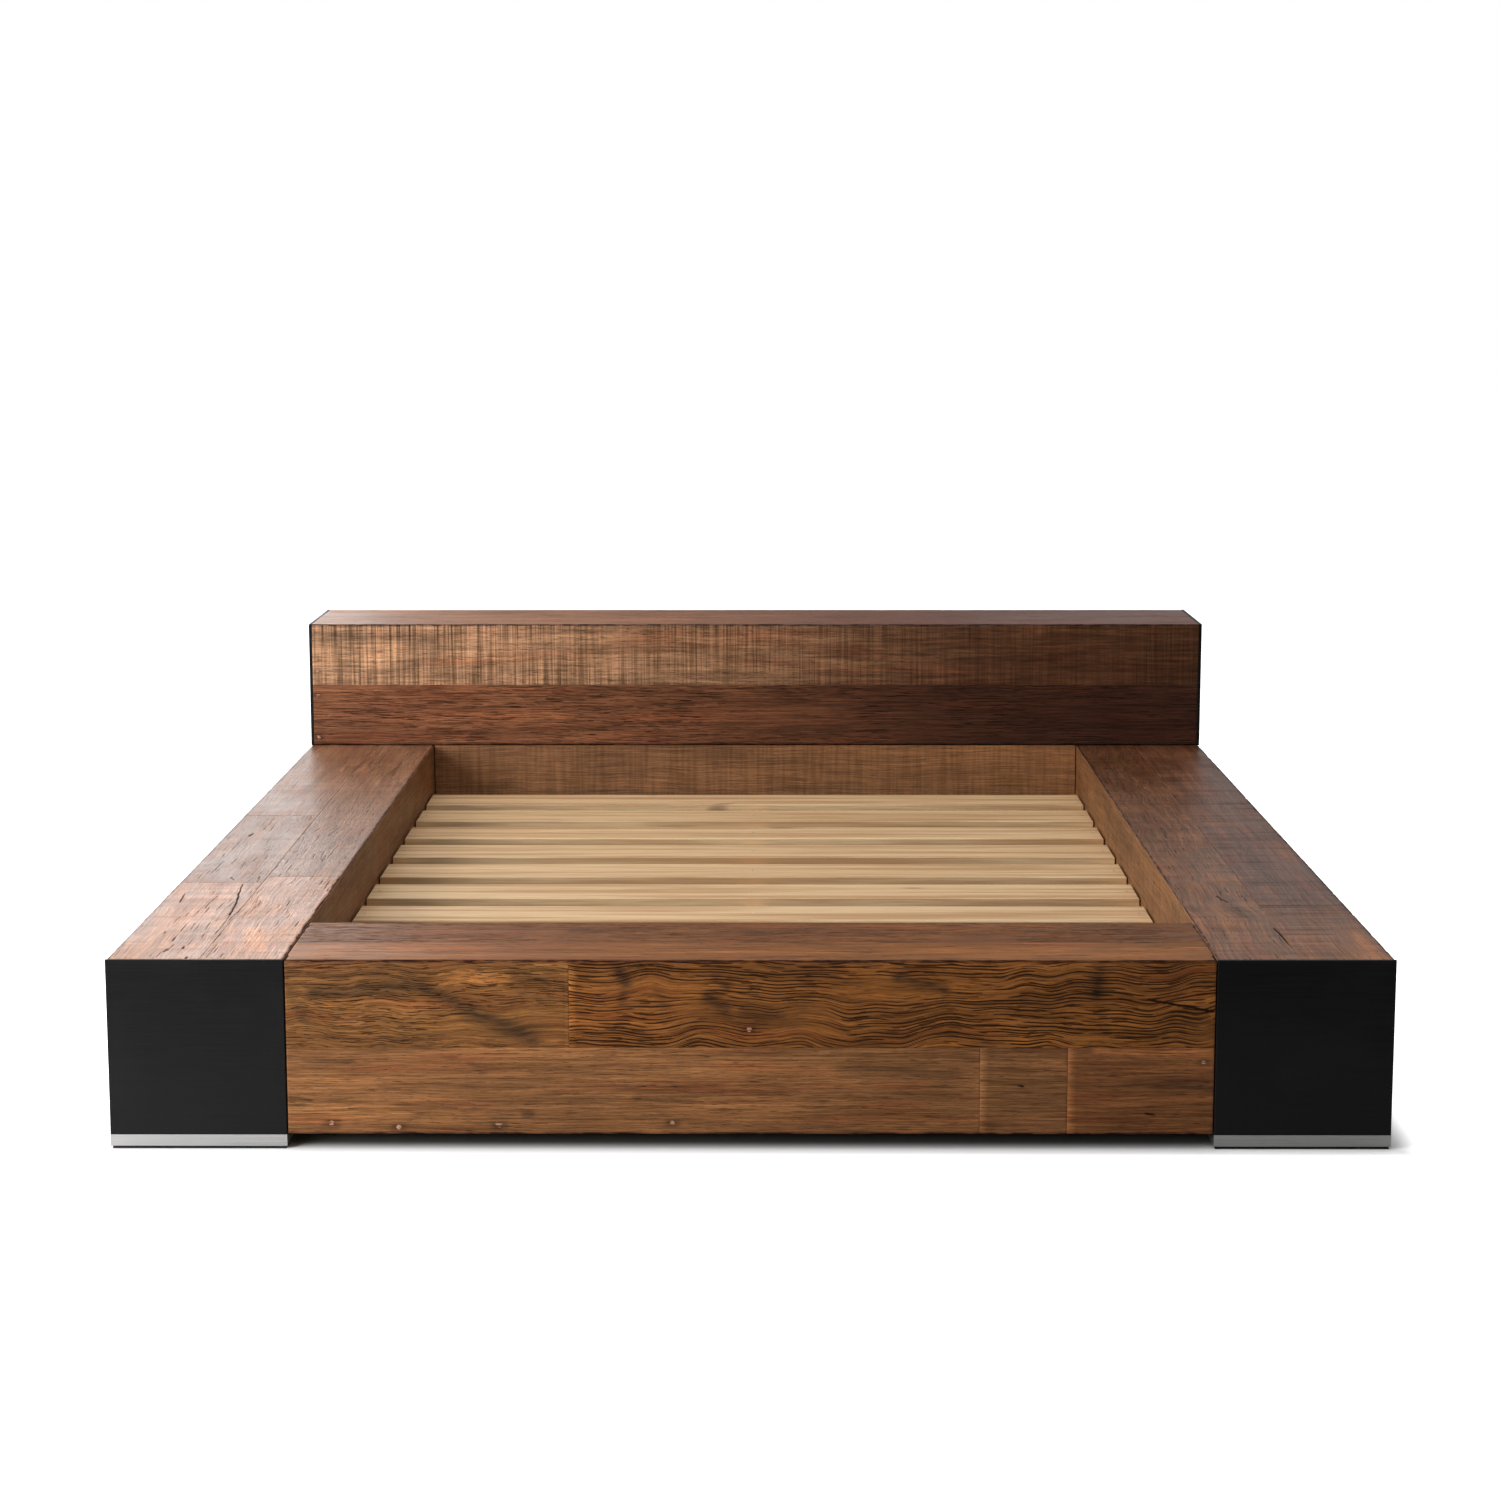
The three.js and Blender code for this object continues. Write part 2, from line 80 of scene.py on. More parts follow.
def noise(x, y, seed):
    """Smooth noise from -1 to 1, whose features are about one unit across."""
    x0, y0 = np.floor(x).astype(np.int64), np.floor(y).astype(np.int64)
    fx, fy = x - x0, y - y0
    sx, sy = fx * fx * (3 - 2 * fx), fy * fy * (3 - 2 * fy)
    low = lattice(x0, y0, seed) * (1 - sx) + lattice(x0 + 1, y0, seed) * sx
    high = lattice(x0, y0 + 1, seed) * (1 - sx) + lattice(x0 + 1, y0 + 1, seed) * sx
    return low * (1 - sy) + high * sy


def rough_noise(x, y, seed, octaves=3):
    """Noise with finer noise on it."""
    return sum(noise(x * 2**k, y * 2**k, seed + 17 * k) / 2**k for k in range(octaves)) / 1.6


def ease(value, low, high):
    """0 below low, 1 above high, and a smooth step between them."""
    t = np.clip((value - low) / (high - low), 0, 1)
    return t * t * (3 - 2 * t)


# ---- How each board looks ----

GOLDEN = (0.220, 0.092, 0.031)
BROWN = (0.194, 0.078, 0.019)
UMBER = (0.200, 0.069, 0.0125)
RED_BROWN = (0.152, 0.053, 0.013)
TAWNY = (0.200, 0.071, 0.015)
DARK_BROWN = (0.172, 0.064, 0.020)
DUSKY = (0.112, 0.041, 0.017)
RUSSET = (0.190, 0.070, 0.029)
HONEY = (0.335, 0.180, 0.096)
APRICOT = (0.295, 0.124, 0.054)
ROSE = (0.185, 0.087, 0.046)

# Lines that follow the grain: (pitch, length and half width in millimetres, share of the board, strength).
WILD = [(6.2, 60, 1.10, 0.82, 1.0), (3.9, 22, 0.75, 0.45, 0.75)]
COMBED = [(3.6, 15, 0.65, 0.58, 0.72), (5.8, 24, 0.75, 0.24, 0.80)]
STRAIGHT = [(3.8, 26, 0.7, 0.60, 0.75), (6.4, 40, 0.8, 0.25, 0.80)]
FINE = [(3.6, 70, 0.6, 0.38, 0.42), (5.6, 18, 0.7, 0.10, 0.60)]
SHAKES = [(8.0, 70, 0.8, 0.14, 0.8), (4.0, 34, 0.6, 0.25, 0.4)]
HAIRS = [(5.0, 40, 0.6, 0.12, 0.35)]
PITS = [(4.6, 11, 0.9, 0.34, 0.40), (8.0, 60, 0.9, 0.10, 0.6)]

# wave is how far the grain wanders and over what length, in metres. saw holds the pitch of the saw marks in
# millimetres and their strength. stain goes from 0 to 1. across and along are the mesh's steps in
# millimetres. Where a look has them, fades takes that share off the saw marks by the right or rear end, and
# bands scales the grain across the board, so 0.5 makes its streaks twice as wide.
LOOKS = {
    "figured": dict(
        tint=UMBER, wave=(0.0125, 0.085), lines=WILD,
        saw=(5, 0), stain=0.4, across=1.0, along=5,
    ),
    "combed": dict(
        tint=BROWN, wave=(0.0070, 0.070), lines=COMBED,
        saw=(5, 0), stain=0.3, across=0.9, along=4,
    ),
    "planed": dict(
        tint=GOLDEN, wave=(0.0020, 0.120), lines=FINE,
        saw=(5, 0), stain=0.15, across=1.2, along=6,
    ),
    "planed_dark": dict(
        tint=DARK_BROWN, wave=(0.002, 0.1), lines=FINE,
        saw=(5, 0), stain=0.3, across=1.2, along=6,
    ),
    "tawny_top": dict(
        tint=TAWNY, wave=(0.0020, 0.120), lines=FINE,
        saw=(5, 0), stain=0.45, across=1.6, along=6,
    ),
    "red_top": dict(
        tint=RED_BROWN, wave=(0.0020, 0.120), lines=STRAIGHT,
        saw=(5, 0), stain=0.5, across=1.6, along=6,
    ),
    "worn_top": dict(
        tint=APRICOT, wave=(0.004, 0.1), lines=SHAKES,
        saw=(14, 0.35), stain=0.1, across=1.5, along=5,
    ),
    "pitted_top": dict(
        tint=ROSE, wave=(0.004, 0.1), lines=PITS,
        saw=(14, 0.25), stain=0.1, across=1.5, along=4,
    ),
    "sawn_top": dict(
        tint=DARK_BROWN, wave=(0.003, 0.1), lines=HAIRS,
        saw=(10, 0.6), stain=0.4, across=1.8, along=4,
    ),
    "dusky_top": dict(
        tint=DUSKY, wave=(0.003, 0.1), lines=HAIRS,
        saw=(10, 0.6), stain=0.3, across=1.8, along=4,
    ),
    "grey_top": dict(
        tint=DARK_BROWN, wave=(0.006, 0.1), lines=SHAKES,
        saw=(11, 0.4), stain=0.4, across=1.6, along=5,
    ),
    "ruddy_top": dict(
        tint=APRICOT, wave=(0.002, 0.1), lines=FINE,
        saw=(5, 0), stain=0.2, across=1.6, along=6,
    ),
    "sawn_face": dict(
        tint=HONEY, wave=(0.002, 0.1), lines=HAIRS,
        saw=(3, 1), fades=0.6, stain=0.2, across=4, along=1.3, bands=0.5,
    ),
    "coarse_face": dict(
        tint=RUSSET, wave=(0.002, 0.1), lines=STRAIGHT,
        saw=(5, 0), stain=0.3, across=1.2, along=5,
    ),
    "plain": dict(
        tint=BROWN, wave=(0.003, 0.1), lines=FINE,
        saw=(7, 0.3), stain=0.4, across=2.4, along=8,
    ),
    "plain_dark": dict(
        tint=DARK_BROWN, wave=(0.003, 0.1), lines=SHAKES,
        saw=(7, 0.4), stain=0.4, across=2.4, along=8,
    ),
}

BOARD_LOOKS = {
    "front_rail_face_upper_left_board": "combed",
    "front_rail_face_upper_right_board": "figured",
    "front_rail_face_lower_left_board": "planed",
    "front_rail_face_lower_middle_board": "planed",
    "front_rail_face_lower_right_board": "planed_dark",
    "front_rail_top_front_board": "tawny_top",
    "front_rail_top_rear_board": "red_top",
    "left_beam_top_outer_front_board": "worn_top",
    "left_beam_top_outer_rear_board": "pitted_top",
    "left_beam_top_inner_front_board": "worn_top",
    "left_beam_top_inner_rear_board": "pitted_top",
    "right_beam_top_outer_front_board": "sawn_top",
    "right_beam_top_outer_rear_board": "dusky_top",
    "right_beam_top_inner_board": "grey_top",
    "headboard_top_front_board": "ruddy_top",
    "headboard_top_rear_board": "ruddy_top",
    "headboard_face_upper_board": "sawn_face",
    "headboard_face_lower_board": "coarse_face",
    "headboard_back_board": "plain_dark",
    "rear_rail_back_board": "plain",
    "left_beam_side_upper_board": "plain",
    "left_beam_side_lower_board": "plain_dark",
    "right_beam_side_upper_board": "plain",
    "right_beam_side_lower_board": "plain",
}

# How pale a board is scrubbed where it ends at its left or front, and at its right or rear.
SCRUBBED = {
    "front_rail_face_upper_left_board": (0, 0.30),
    "front_rail_face_upper_right_board": (0.55, 0),
    "front_rail_face_lower_left_board": (0, 0.15),
    "front_rail_face_lower_middle_board": (0.70, 0),
    "front_rail_face_lower_right_board": (0.75, 0),
}

# How badly a board is chipped along its left or lower edge, along its right or upper edge, and at its ends.
CHIPPED = {
    "left_beam_top_inner_front_board": (0.2, 1.0, 0.2),
    "front_rail_top_front_board": (0.1, 0.1, 0.9),
    "front_rail_top_rear_board": (0.1, 0.1, 0.7),
    "right_beam_top_inner_board": (0.6, 0.2, 0.2),
    "left_beam_top_outer_front_board": (0.6, 0.2, 0.4),
    "right_beam_top_outer_front_board": (0.2, 0.6, 0.2),
    "right_beam_top_outer_rear_board": (0.2, 0.6, 0.2),
}

# Painted shade: a board that darkens towards its right or rear end, for light that falls off away from the
# left and shade cast on the headboard. The shares of its red, green and blue that are left at that end.
PAINTED_SHADE_DRIFTS = {
    "headboard_face_upper_board": (0.196, 0.132, 0.086),
    "headboard_face_lower_board": (0.19, 0.14, 0.11),
    "headboard_top_front_board": (0.42, 0.32, 0.36),
    "headboard_top_rear_board": (0.38, 0.30, 0.36),
    "right_beam_top_outer_front_board": (0.72, 0.70, 0.80),
    "right_beam_top_inner_board": (0.58, 0.58, 0.70),
}

# How far the darkening on a board's arris reaches over it, in millimetres, where that is more than usual:
# dirt and painted shade where the rounded edge turns from the light.
ARRIS_DIRT_AND_SHADE_REACH = {
    "right_beam_top_outer_front_board": 7.0,
    "right_beam_top_outer_rear_board": 7.0,
    "left_beam_top_outer_front_board": 4.5,
    "left_beam_top_outer_rear_board": 4.5,
}

# A board pieced out of two lengths: how far the joint is from its front end.
PIECED = {"left_beam_top_outer_rear_board": 0.72}

# Marks that a board got in its first life. Each is a line on its face between two places, given as the
# distance from the left or front end and from the lower or left edge. Half its width and its strength
# follow. A mark darkens the board, or lightens it if its strength is below 0, and on a top it dulls the
# sheen.
MARKS = {
    "front_rail_face_upper_left_board": [
        (0.05, 0.096, 0.23, 0.108, 0.017, 0.62),
        (0.23, 0.108, 0.31, 0.068, 0.016, 0.68),
        (0.31, 0.068, 0.42, 0.016, 0.018, 0.68),
        (0.27, 0.122, 0.37, 0.116, 0.016, -0.60),
        (0.41, 0.130, 0.45, 0.112, 0.004, 0.50),
        (0.00, 0.120, 0.03, 0.060, 0.016, 0.35),
    ],
    "front_rail_face_upper_right_board": [
        (0.085, 0.138, 0.098, 0.112, 0.012, 0.70),
        (0.098, 0.105, 0.090, 0.078, 0.009, 0.50),
        (0.150, 0.096, 0.168, 0.072, 0.010, 0.35),
        (0.252, 0.122, 0.270, 0.108, 0.010, 0.60),
        (0.238, 0.086, 0.268, 0.068, 0.013, 0.70),
        (0.30, 0.060, 0.36, 0.055, 0.014, 0.35),
        (0.56, 0.122, 0.64, 0.104, 0.011, 0.70),
        (0.905, 0.138, 0.900, 0.092, 0.013, 0.60),
        (0.99, 0.084, 1.10, 0.064, 0.0016, 1.0),
        (1.03, 0.050, 1.10, 0.040, 0.014, 0.40),
    ],
    "front_rail_face_lower_left_board": [
        (0.03, 0.128, 0.11, 0.130, 0.004, 0.40),
        (0.00, 0.066, 0.04, 0.060, 0.003, 0.60),
        (0.00, 0.052, 0.03, 0.050, 0.003, 0.50),
        (0.95, 0.118, 1.14, 0.106, 0.015, 0.35),
        (0.60, 0.062, 0.70, 0.060, 0.006, 0.30),
    ],
    "front_rail_face_lower_middle_board": [
        (0.068, 0.087, 0.074, 0.086, 0.0022, 0.90),
        (0.00, 0.075, 0.15, 0.075, 0.090, 0.22),
    ],
    "front_rail_face_lower_right_board": [
        (0.16, 0.085, 0.24, 0.090, 0.014, 0.40),
        (0.135, 0.038, 0.150, 0.036, 0.0022, 0.70),
        (0.05, 0.150, 0.25, 0.143, 0.007, -1.10),
    ],
    "front_rail_top_front_board": [
        (0.85, 0.10, 0.86, 0.14, 0.006, 0.4),
        (0.00, 0.05, 0.30, 0.10, 0.05, -0.25),
    ],
    "left_beam_top_outer_front_board": [
        (0.36, 0.148, 0.46, 0.143, 0.0014, 1.0),
        (0.46, 0.143, 0.55, 0.131, 0.0018, 1.0),
        (0.55, 0.131, 0.64, 0.124, 0.0013, 0.9),
        (0.47, 0.036, 0.53, 0.031, 0.0014, 0.8),
        (0.055, 0.088, 0.080, 0.089, 0.0022, 0.7),
        (0.140, 0.086, 0.175, 0.085, 0.0018, 0.7),
        (0.080, 0.116, 0.100, 0.115, 0.0022, 0.6),
        (0.005, 0.136, 0.020, 0.135, 0.0028, 0.7),
        (0.200, 0.058, 0.220, 0.058, 0.0022, 0.5),
        (0.030, 0.060, 0.140, 0.120, 0.0180, 0.4),
        (0.260, 0.080, 0.420, 0.100, 0.0260, -0.30),
    ],
    "left_beam_top_inner_front_board": [
        (0.08, 0.092, 0.25, 0.050, 0.022, -0.65),
        (0.70, 0.03, 0.71, 0.05, 0.003, 0.5),
        (0.52, 0.02, 0.36, 0.10, 0.018, -0.25),
    ],
    "left_beam_top_outer_rear_board": [
        (0.48, 0.052, 0.51, 0.054, 0.0022, 1.0),
        (0.02, 0.100, 0.05, 0.090, 0.0014, 0.7),
        (0.03, 0.146, 0.06, 0.144, 0.0016, 0.7),
    ],
    "right_beam_top_inner_board": [
        (0.34, 0.100, 0.45, 0.092, 0.012, 0.75),
        (0.47, 0.089, 0.53, 0.074, 0.0022, 0.8),
        (0.11, 0.143, 0.25, 0.136, 0.0022, 0.8),
        (0.35, 0.005, 0.42, 0.020, 0.016, 0.6),
    ],
    "right_beam_top_outer_front_board": [
        (0.00, 0.138, 0.22, 0.134, 0.016, -0.50),
        (0.10, 0.05, 0.24, 0.04, 0.03, -0.20),
    ],
    "right_beam_top_outer_rear_board": [
        (0.02, 0.050, 0.05, 0.080, 0.010, 0.6),
        (0.18, 0.010, 0.26, 0.060, 0.022, 0.5),
        (0.36, 0.020, 0.42, 0.060, 0.024, 0.4),
    ],
    "headboard_face_upper_board": [
        (0.03, 0.120, 0.13, 0.122, 0.022, 0.45),
        (0.19, 0.118, 0.30, 0.112, 0.018, 0.36),
        (0.15, 0.070, 0.20, 0.085, 0.022, -0.45),
        (0.08, 0.045, 0.11, 0.050, 0.016, 0.35),
        (0.23, 0.050, 0.30, 0.075, 0.016, 0.35),
    ],
}

# ---- Boards with a worn surface ----

SPLIT_HALF_WIDTH = 3 * MM  # A mark narrower than this is a split in the board
USUAL_CHIPS = (0.12, 0.12, 0.12)
USUAL_DIRT_AND_SHADE_REACH = 3.2  # Reach of the dirt and painted shade on an arris, in millimetres
DULLED = 0.6  # How dull a mark of full strength makes a top, from 0 to 1
DULLED_MARK = 0.35  # Share of its darkness that a dark mark keeps there


def shown_direction(node):
    """The way that the face of a board which shows looks, as an axis and a sign."""
    if "_top_" in node:
        return 2, 1
    if "_side_" in node:
        return 0, -1 if node.startswith("left") else 1
    return 1, -1 if "_face_" in node else 1


def cad_section(node, axis, across):
    """The corners of a CAD board's section, in order round it, over the two axes across its length."""
    points = np.array([v.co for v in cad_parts[node].data.vertices])
    end = points[points[:, axis] < points[:, axis].min() + 0.01 * MM]
    corners = np.unique(end[:, across].round(6), axis=0)
    away = corners - corners.mean(0)
    return corners[np.argsort(np.arctan2(away[:, 1], away[:, 0]))]


def fine_ring(corners, face, step):
    """The section with points along the edges that show, no more than a step apart.

    Gives the points, and the inward direction at each, or zero where it doesn't show. face is the outward
    direction, over the section's two axes.
    """
    edges = list(zip(corners, np.roll(corners, -1, 0)))
    normals = [np.array([q[1] - p[1], p[0] - q[0]]) / np.linalg.norm(q - p) for p, q in edges]
    shown = [n @ face > 0.5 for n in normals]
    points, inward = [], []
    for i, (p, q) in enumerate(edges):
        if not shown[i]:
            points.append(p)
            inward.append(-normals[i - 1] if shown[i - 1] else np.zeros(2))
            continue
        count = max(1, math.ceil(np.linalg.norm(q - p) / step))
        for j in range(count):
            normal = normals[i] + normals[i - 1] if j == 0 and shown[i - 1] else normals[i]
            points.append(p + (q - p) * j / count)
            inward.append(-normal / np.linalg.norm(normal))
    return np.array(points), np.array(inward)


def stations(low, high, step):
    """Places along a board: close together at its ends and even between them."""
    near = np.array([0, 0.8, 2.0, 4.0]) * MM
    middle = np.linspace(low + 4 * MM, high - 4 * MM, max(2, round((high - low) / step)) + 1)
    return np.concatenate([low + near[:-1], middle, (high - near[:-1])[::-1]])


def mark_field(marks, along, up):
    """How much the marks darken each point, and how far the narrow ones split it.

    The first is below 0 where they lighten it.
    """
    dark, pale, split = np.zeros_like(along), np.zeros_like(along), np.zeros_like(along)
    up = up + 1.6 * MM * rough_noise(along / 0.03, np.zeros_like(along), 92)
    ragged = 1 + 0.55 * rough_noise(along / 0.022, up / 0.0032, 91)
    for x0, y0, x1, y1, half, strength in marks:
        dx, dy = x1 - x0, y1 - y0
        t = np.clip(((along - x0) * dx + (up - y0) * dy) / (dx * dx + dy * dy), 0, 1)
        away = np.hypot(along - x0 - t * dx, up - y0 - t * dy) * (0.75 + 0.25 * ragged)
        shade = strength * np.exp(-((away / half) ** 2)) * ragged
        dark, pale = np.maximum(dark, shade), np.minimum(pale, shade)
        if half < SPLIT_HALF_WIDTH:
            split = np.maximum(split, shade)
    return dark + pale, split


def line_field(lines, seed, u, course):
    """The dark lines that follow the grain, whose rows open, wander a little and close along the board."""
    field = np.zeros_like(u)
    for k, (pitch, length, half, share, strength) in enumerate(lines):
        row = course / (pitch * MM) + 0.37 * k
        number = np.floor(row)
        along = u / (length * MM) + 0.31 * number
        centre = 0.5 + 0.28 * noise(along, number, seed + 40 + k)
        away = (row - number - centre) * pitch
        threshold = 0.55 - 1.35 * share
        opening = ease(noise(along, number, seed + 50 + k), threshold, threshold + 0.4)
        line = opening * np.exp(-((away / (half * (0.45 + 0.55 * opening))) ** 2))
        field = np.maximum(field, strength * line)
    return field


def chip_field(chips, seed, place, away):
    """Chips along an edge, from the place along it and the distance from it."""
    chipped = ease(rough_noise(place / 0.022, np.zeros_like(place), seed), -0.1, 0.5)
    reach = (0.7 + 2.6 * chips * chipped) * MM
    return chipped * np.exp(-((away / reach) ** 2))


def worn_surface(look, chips, seed, u, v, edges, from_end, from_arris):
    """Over a board: depth below the CAD face in metres, dark share, saw marks and course of the grain."""
    swing, length = look["wave"]
    wander = swing * (
        noise(u / length, v / 0.10, seed) + 0.35 * noise(u / (0.5 * length), v / 0.06, seed + 21)
    )
    course = v + wander
    hollows = 0.12 * MM * (1 + rough_noise(u / 0.09, course / 0.02, seed + 1))
    patch = 0.35 + 0.65 * ease(rough_noise(u / 0.20, v / 0.07, seed + 3), -0.7, 0.1)
    lines = patch * line_field(look["lines"], seed, u, course)
    pitch, strength = look["saw"]
    kerf = noise(u / (pitch * MM), v / 0.16, seed + 9) + 0.5 * noise(
        2 * u / (pitch * MM), v / 0.09, seed + 10
    )
    saw = strength * kerf / 1.5 * ease(rough_noise(u / 0.16, v / 0.05, seed + 13), -0.9, 0.2)
    away = [*edges, from_end]
    chipped = [
        amount * chip_field(amount, seed + 11 + k, v if k == 2 else u, away[k])
        for k, amount in enumerate(chips)
    ]
    chipped = np.max(chipped, axis=0)
    eased = 0.45 * MM * np.exp(-((np.min(away, axis=0) / (1.0 * MM)) ** 2))
    bruise = 0.25 + 1.1 * ease(rough_noise(u / 0.030, np.zeros_like(u), seed + 5), 0.0, 0.9)
    arris = bruise * MM * np.exp(-((from_arris / (2.6 * MM)) ** 2))
    depth = hollows + 0.85 * MM * lines + 0.18 * MM * (strength - saw) + 2.0 * MM * chipped + eased + arris
    return depth, np.maximum(lines, chipped), saw, course


def tint_field(look, seed, u, course, marks, scrubbed, edge_dirt_and_painted_shade, drift):
    """The board's tone at each point: painted shade along its length, stains, marks, scrubbed ends, and dirt
    and painted shade on its arris.
    """
    tone = np.array(look["tint"])[None, :] * drift
    golden = ease(rough_noise(u / 0.35, course / 0.025, seed + 6), -0.3, 0.9)[:, None]
    red = ease(rough_noise(u / 0.25, course / 0.018, seed + 7), 0.0, 0.9)[:, None]
    tone = tone * (1 + 0.35 * golden * np.array([1.0, 1.0, 0.9]))
    tone = tone * (1 - 0.30 * red * np.array([0.15, 0.75, 0.9]))
    stain = ease(rough_noise(u / 0.10, course / 0.014, seed + 8), 0.15, 0.9) * look["stain"]
    dark = np.clip(stain * (1 - np.clip(marks, 0, 1)) + marks, -1.2, 0.88)[:, None]
    tone = tone * (1 - dark * np.array([0.94, 0.90, 0.84]))
    tone = tone * (1 + scrubbed[:, None] * np.array([1.0, 1.05, 1.2]))
    return tone * (1 - edge_dirt_and_painted_shade[:, None] * np.array([0.85, 1.0, 1.0]))


def mesh_object(name, vertices, faces, material, replaced=()):
    """A finished piece of the bed from its vertices and faces."""
    mesh = bpy.data.meshes.new(name)
    mesh.from_pydata(vertices.tolist(), [], faces)
    mesh.update()
    piece = bpy.data.objects.new(name, mesh)
    return finish_piece(piece, material, replaced)


def finish_piece(piece, material, replaced=()):
    """Puts a piece in the scene, on the body, with its material and in the place of its CAD nodes."""
    bpy.context.scene.collection.objects.link(piece)
    piece.data.materials.append(material)
    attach(piece, "root")
    if replaced:
        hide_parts(*replaced)
    return piece


def attribute(mesh, name, kind, values):
    """Stores one value for each vertex under a name that a material reads."""
    key = {"FLOAT": "value", "FLOAT_VECTOR": "vector", "FLOAT_COLOR": "color"}[kind]
    values = np.ascontiguousarray(values, np.float32).ravel()
    mesh.attributes.new(name, kind, "POINT").data.foreach_set(key, values)


def loft_faces(rings, sides, flip):
    """Quads between rings of that many points, and a face over each end."""
    i, j = np.meshgrid(np.arange(rings - 1), np.arange(sides), indexing="ij")
    k = (j + 1) % sides
    corners = [i * sides + j, i * sides + k, (i + 1) * sides + k, (i + 1) * sides + j]
    faces = np.stack(corners, -1).reshape(-1, 4).tolist()
    faces.append(list(range(sides))[::-1])
    faces.append(list(range((rings - 1) * sides, rings * sides)))
    return [f[::-1] for f in faces] if flip else faces


def worn_board(node, look_name, material, polished):
    """The board that stands for a CAD node: its section and length, with a worn surface where it shows."""
    look, seed = LOOKS[look_name], zlib.crc32(node.encode()) % 9973
    low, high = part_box(node)
    axis = 0 if high.x - low.x > high.y - low.y else 1
    across = [i for i in range(3) if i != axis]
    facing, sign = shown_direction(node)
    face = np.array([sign if i == facing else 0 for i in across], float)
    points, inward = fine_ring(cad_section(node, axis, across), face, look["across"] * MM)
    joint = low[axis] + PIECED[node] if node in PIECED else None
    places = stations(low[axis], high[axis], look["along"] * MM)
    if joint:
        places = np.unique(np.concatenate([places, joint + np.array([-2, -1, 0, 1, 2]) * MM]))

    rings, sides = len(places), len(points)
    u = np.repeat(places, sides)
    spot = np.tile(points, (rings, 1))
    turn = np.tile(inward, (rings, 1))
    v = spot[:, 1 if across[1] != facing else 0]
    past = (u > joint).astype(float) if joint else np.zeros(len(u))
    from_end = np.minimum(u - low[axis], high[axis] - u)
    edges = (v - v.min(), v.max() - v)
    from_arris = np.full(len(u), 1.0)
    for corner in points[np.abs(inward).min(1) > 0.2]:
        from_arris = np.minimum(from_arris, np.linalg.norm(spot - corner, axis=1))

    # The noise moves to another place past a joint, so the two lengths differ.
    u2, v2 = u + 3.7 * past, v + 0.41 * past
    chips = CHIPPED.get(node, USUAL_CHIPS)
    depth, dark, saw, course = worn_surface(look, chips, seed, u2, v2, edges, from_end, from_arris)
    share = ease((u - low[axis]) / (high[axis] - low[axis]), 0.15, 0.85)
    dark = dark * (1 - 0.5 * past)
    saw = saw * (1 - look.get("fades", 0) * share)
    if joint:
        gap = np.exp(-(((u - joint) / (1.2 * MM)) ** 2))
        depth, dark = depth + 0.9 * MM * gap, np.maximum(dark, 0.8 * gap)
    stains = [(x - 0.006, y, x + 0.006, y, 1.5 * r * MM, 0.55) for x, y, r in PLUGS.get(node, [])]
    marks, split = mark_field(MARKS.get(node, []) + stains, u - low[axis], v - v.min())
    depth, dark = depth + 0.9 * MM * split, np.maximum(dark, split)
    near, far = SCRUBBED.get(node, (0, 0))
    scrubbed = near * np.exp(-(((u - low[axis]) / (10 * MM)) ** 4))
    scrubbed += far * np.exp(-(((high[axis] - u) / (5 * MM)) ** 4)) + 0.1 * past
    ragged = 0.5 + 0.5 * ease(rough_noise(u / 0.02, np.zeros_like(u), seed + 15), -0.4, 0.6)
    # Dirt and painted shade along the arrises: darker and without sheen where the rounded edge turns from
    # the light.
    edge_dirt_and_painted_shade = 0.9 * ragged * np.exp(-((from_arris / (ARRIS_DIRT_AND_SHADE_REACH.get(node, USUAL_DIRT_AND_SHADE_REACH) * MM)) ** 2))
    # Painted shade: on some boards the tone falls towards the right or rear end, where less light reaches.
    drift = 1 - share[:, None] * (1 - np.array(PAINTED_SHADE_DRIFTS.get(node, (1, 1, 1))))
    dark = np.maximum(dark, 0.5 * edge_dirt_and_painted_shade)
    # Where a mark has taken the polish off, the timber's own colour comes through its sheen.
    dull = np.clip(DULLED * np.abs(marks), 0, 1) if polished else np.zeros_like(marks)
    marks = marks * np.where(marks * dull > 0, DULLED_MARK, 1)
    tint = tint_field(look, seed, u2, course, marks, scrubbed, edge_dirt_and_painted_shade, drift)
    spot = spot + turn * depth[:, None]

    vertices = np.zeros((len(u), 3))
    vertices[:, axis] = u
    vertices[:, across] = spot
    faces = loft_faces(rings, sides, flip=axis == 1)
    name = node.replace("_board", "_worn_board")
    piece = mesh_object(name, vertices, faces, material, [node])
    mesh = piece.data
    shows = np.linalg.norm(turn, axis=1) > 0
    grain_across = look.get("bands", 1) * course + 0.4 * points.mean()
    grain = np.stack([u2, grain_across, np.full(len(u), seed * 0.01)], -1)
    attribute(mesh, "grain", "FLOAT_VECTOR", grain)
    attribute(mesh, "tint", "FLOAT_COLOR", np.concatenate([tint, np.ones((len(u), 1))], 1))
    attribute(mesh, "crack", "FLOAT", dark * shows)
    attribute(mesh, "saw", "FLOAT", saw * shows)
    attribute(mesh, "dull", "FLOAT", dull)
    mesh.polygons.foreach_set("use_smooth", np.ones(len(mesh.polygons), bool))
    mesh.set_sharp_from_angle(angle=math.radians(50))
    return piece


# ---- Materials ----

BARE_SHEEN = 0.04  # Specular level of timber with no finish on it


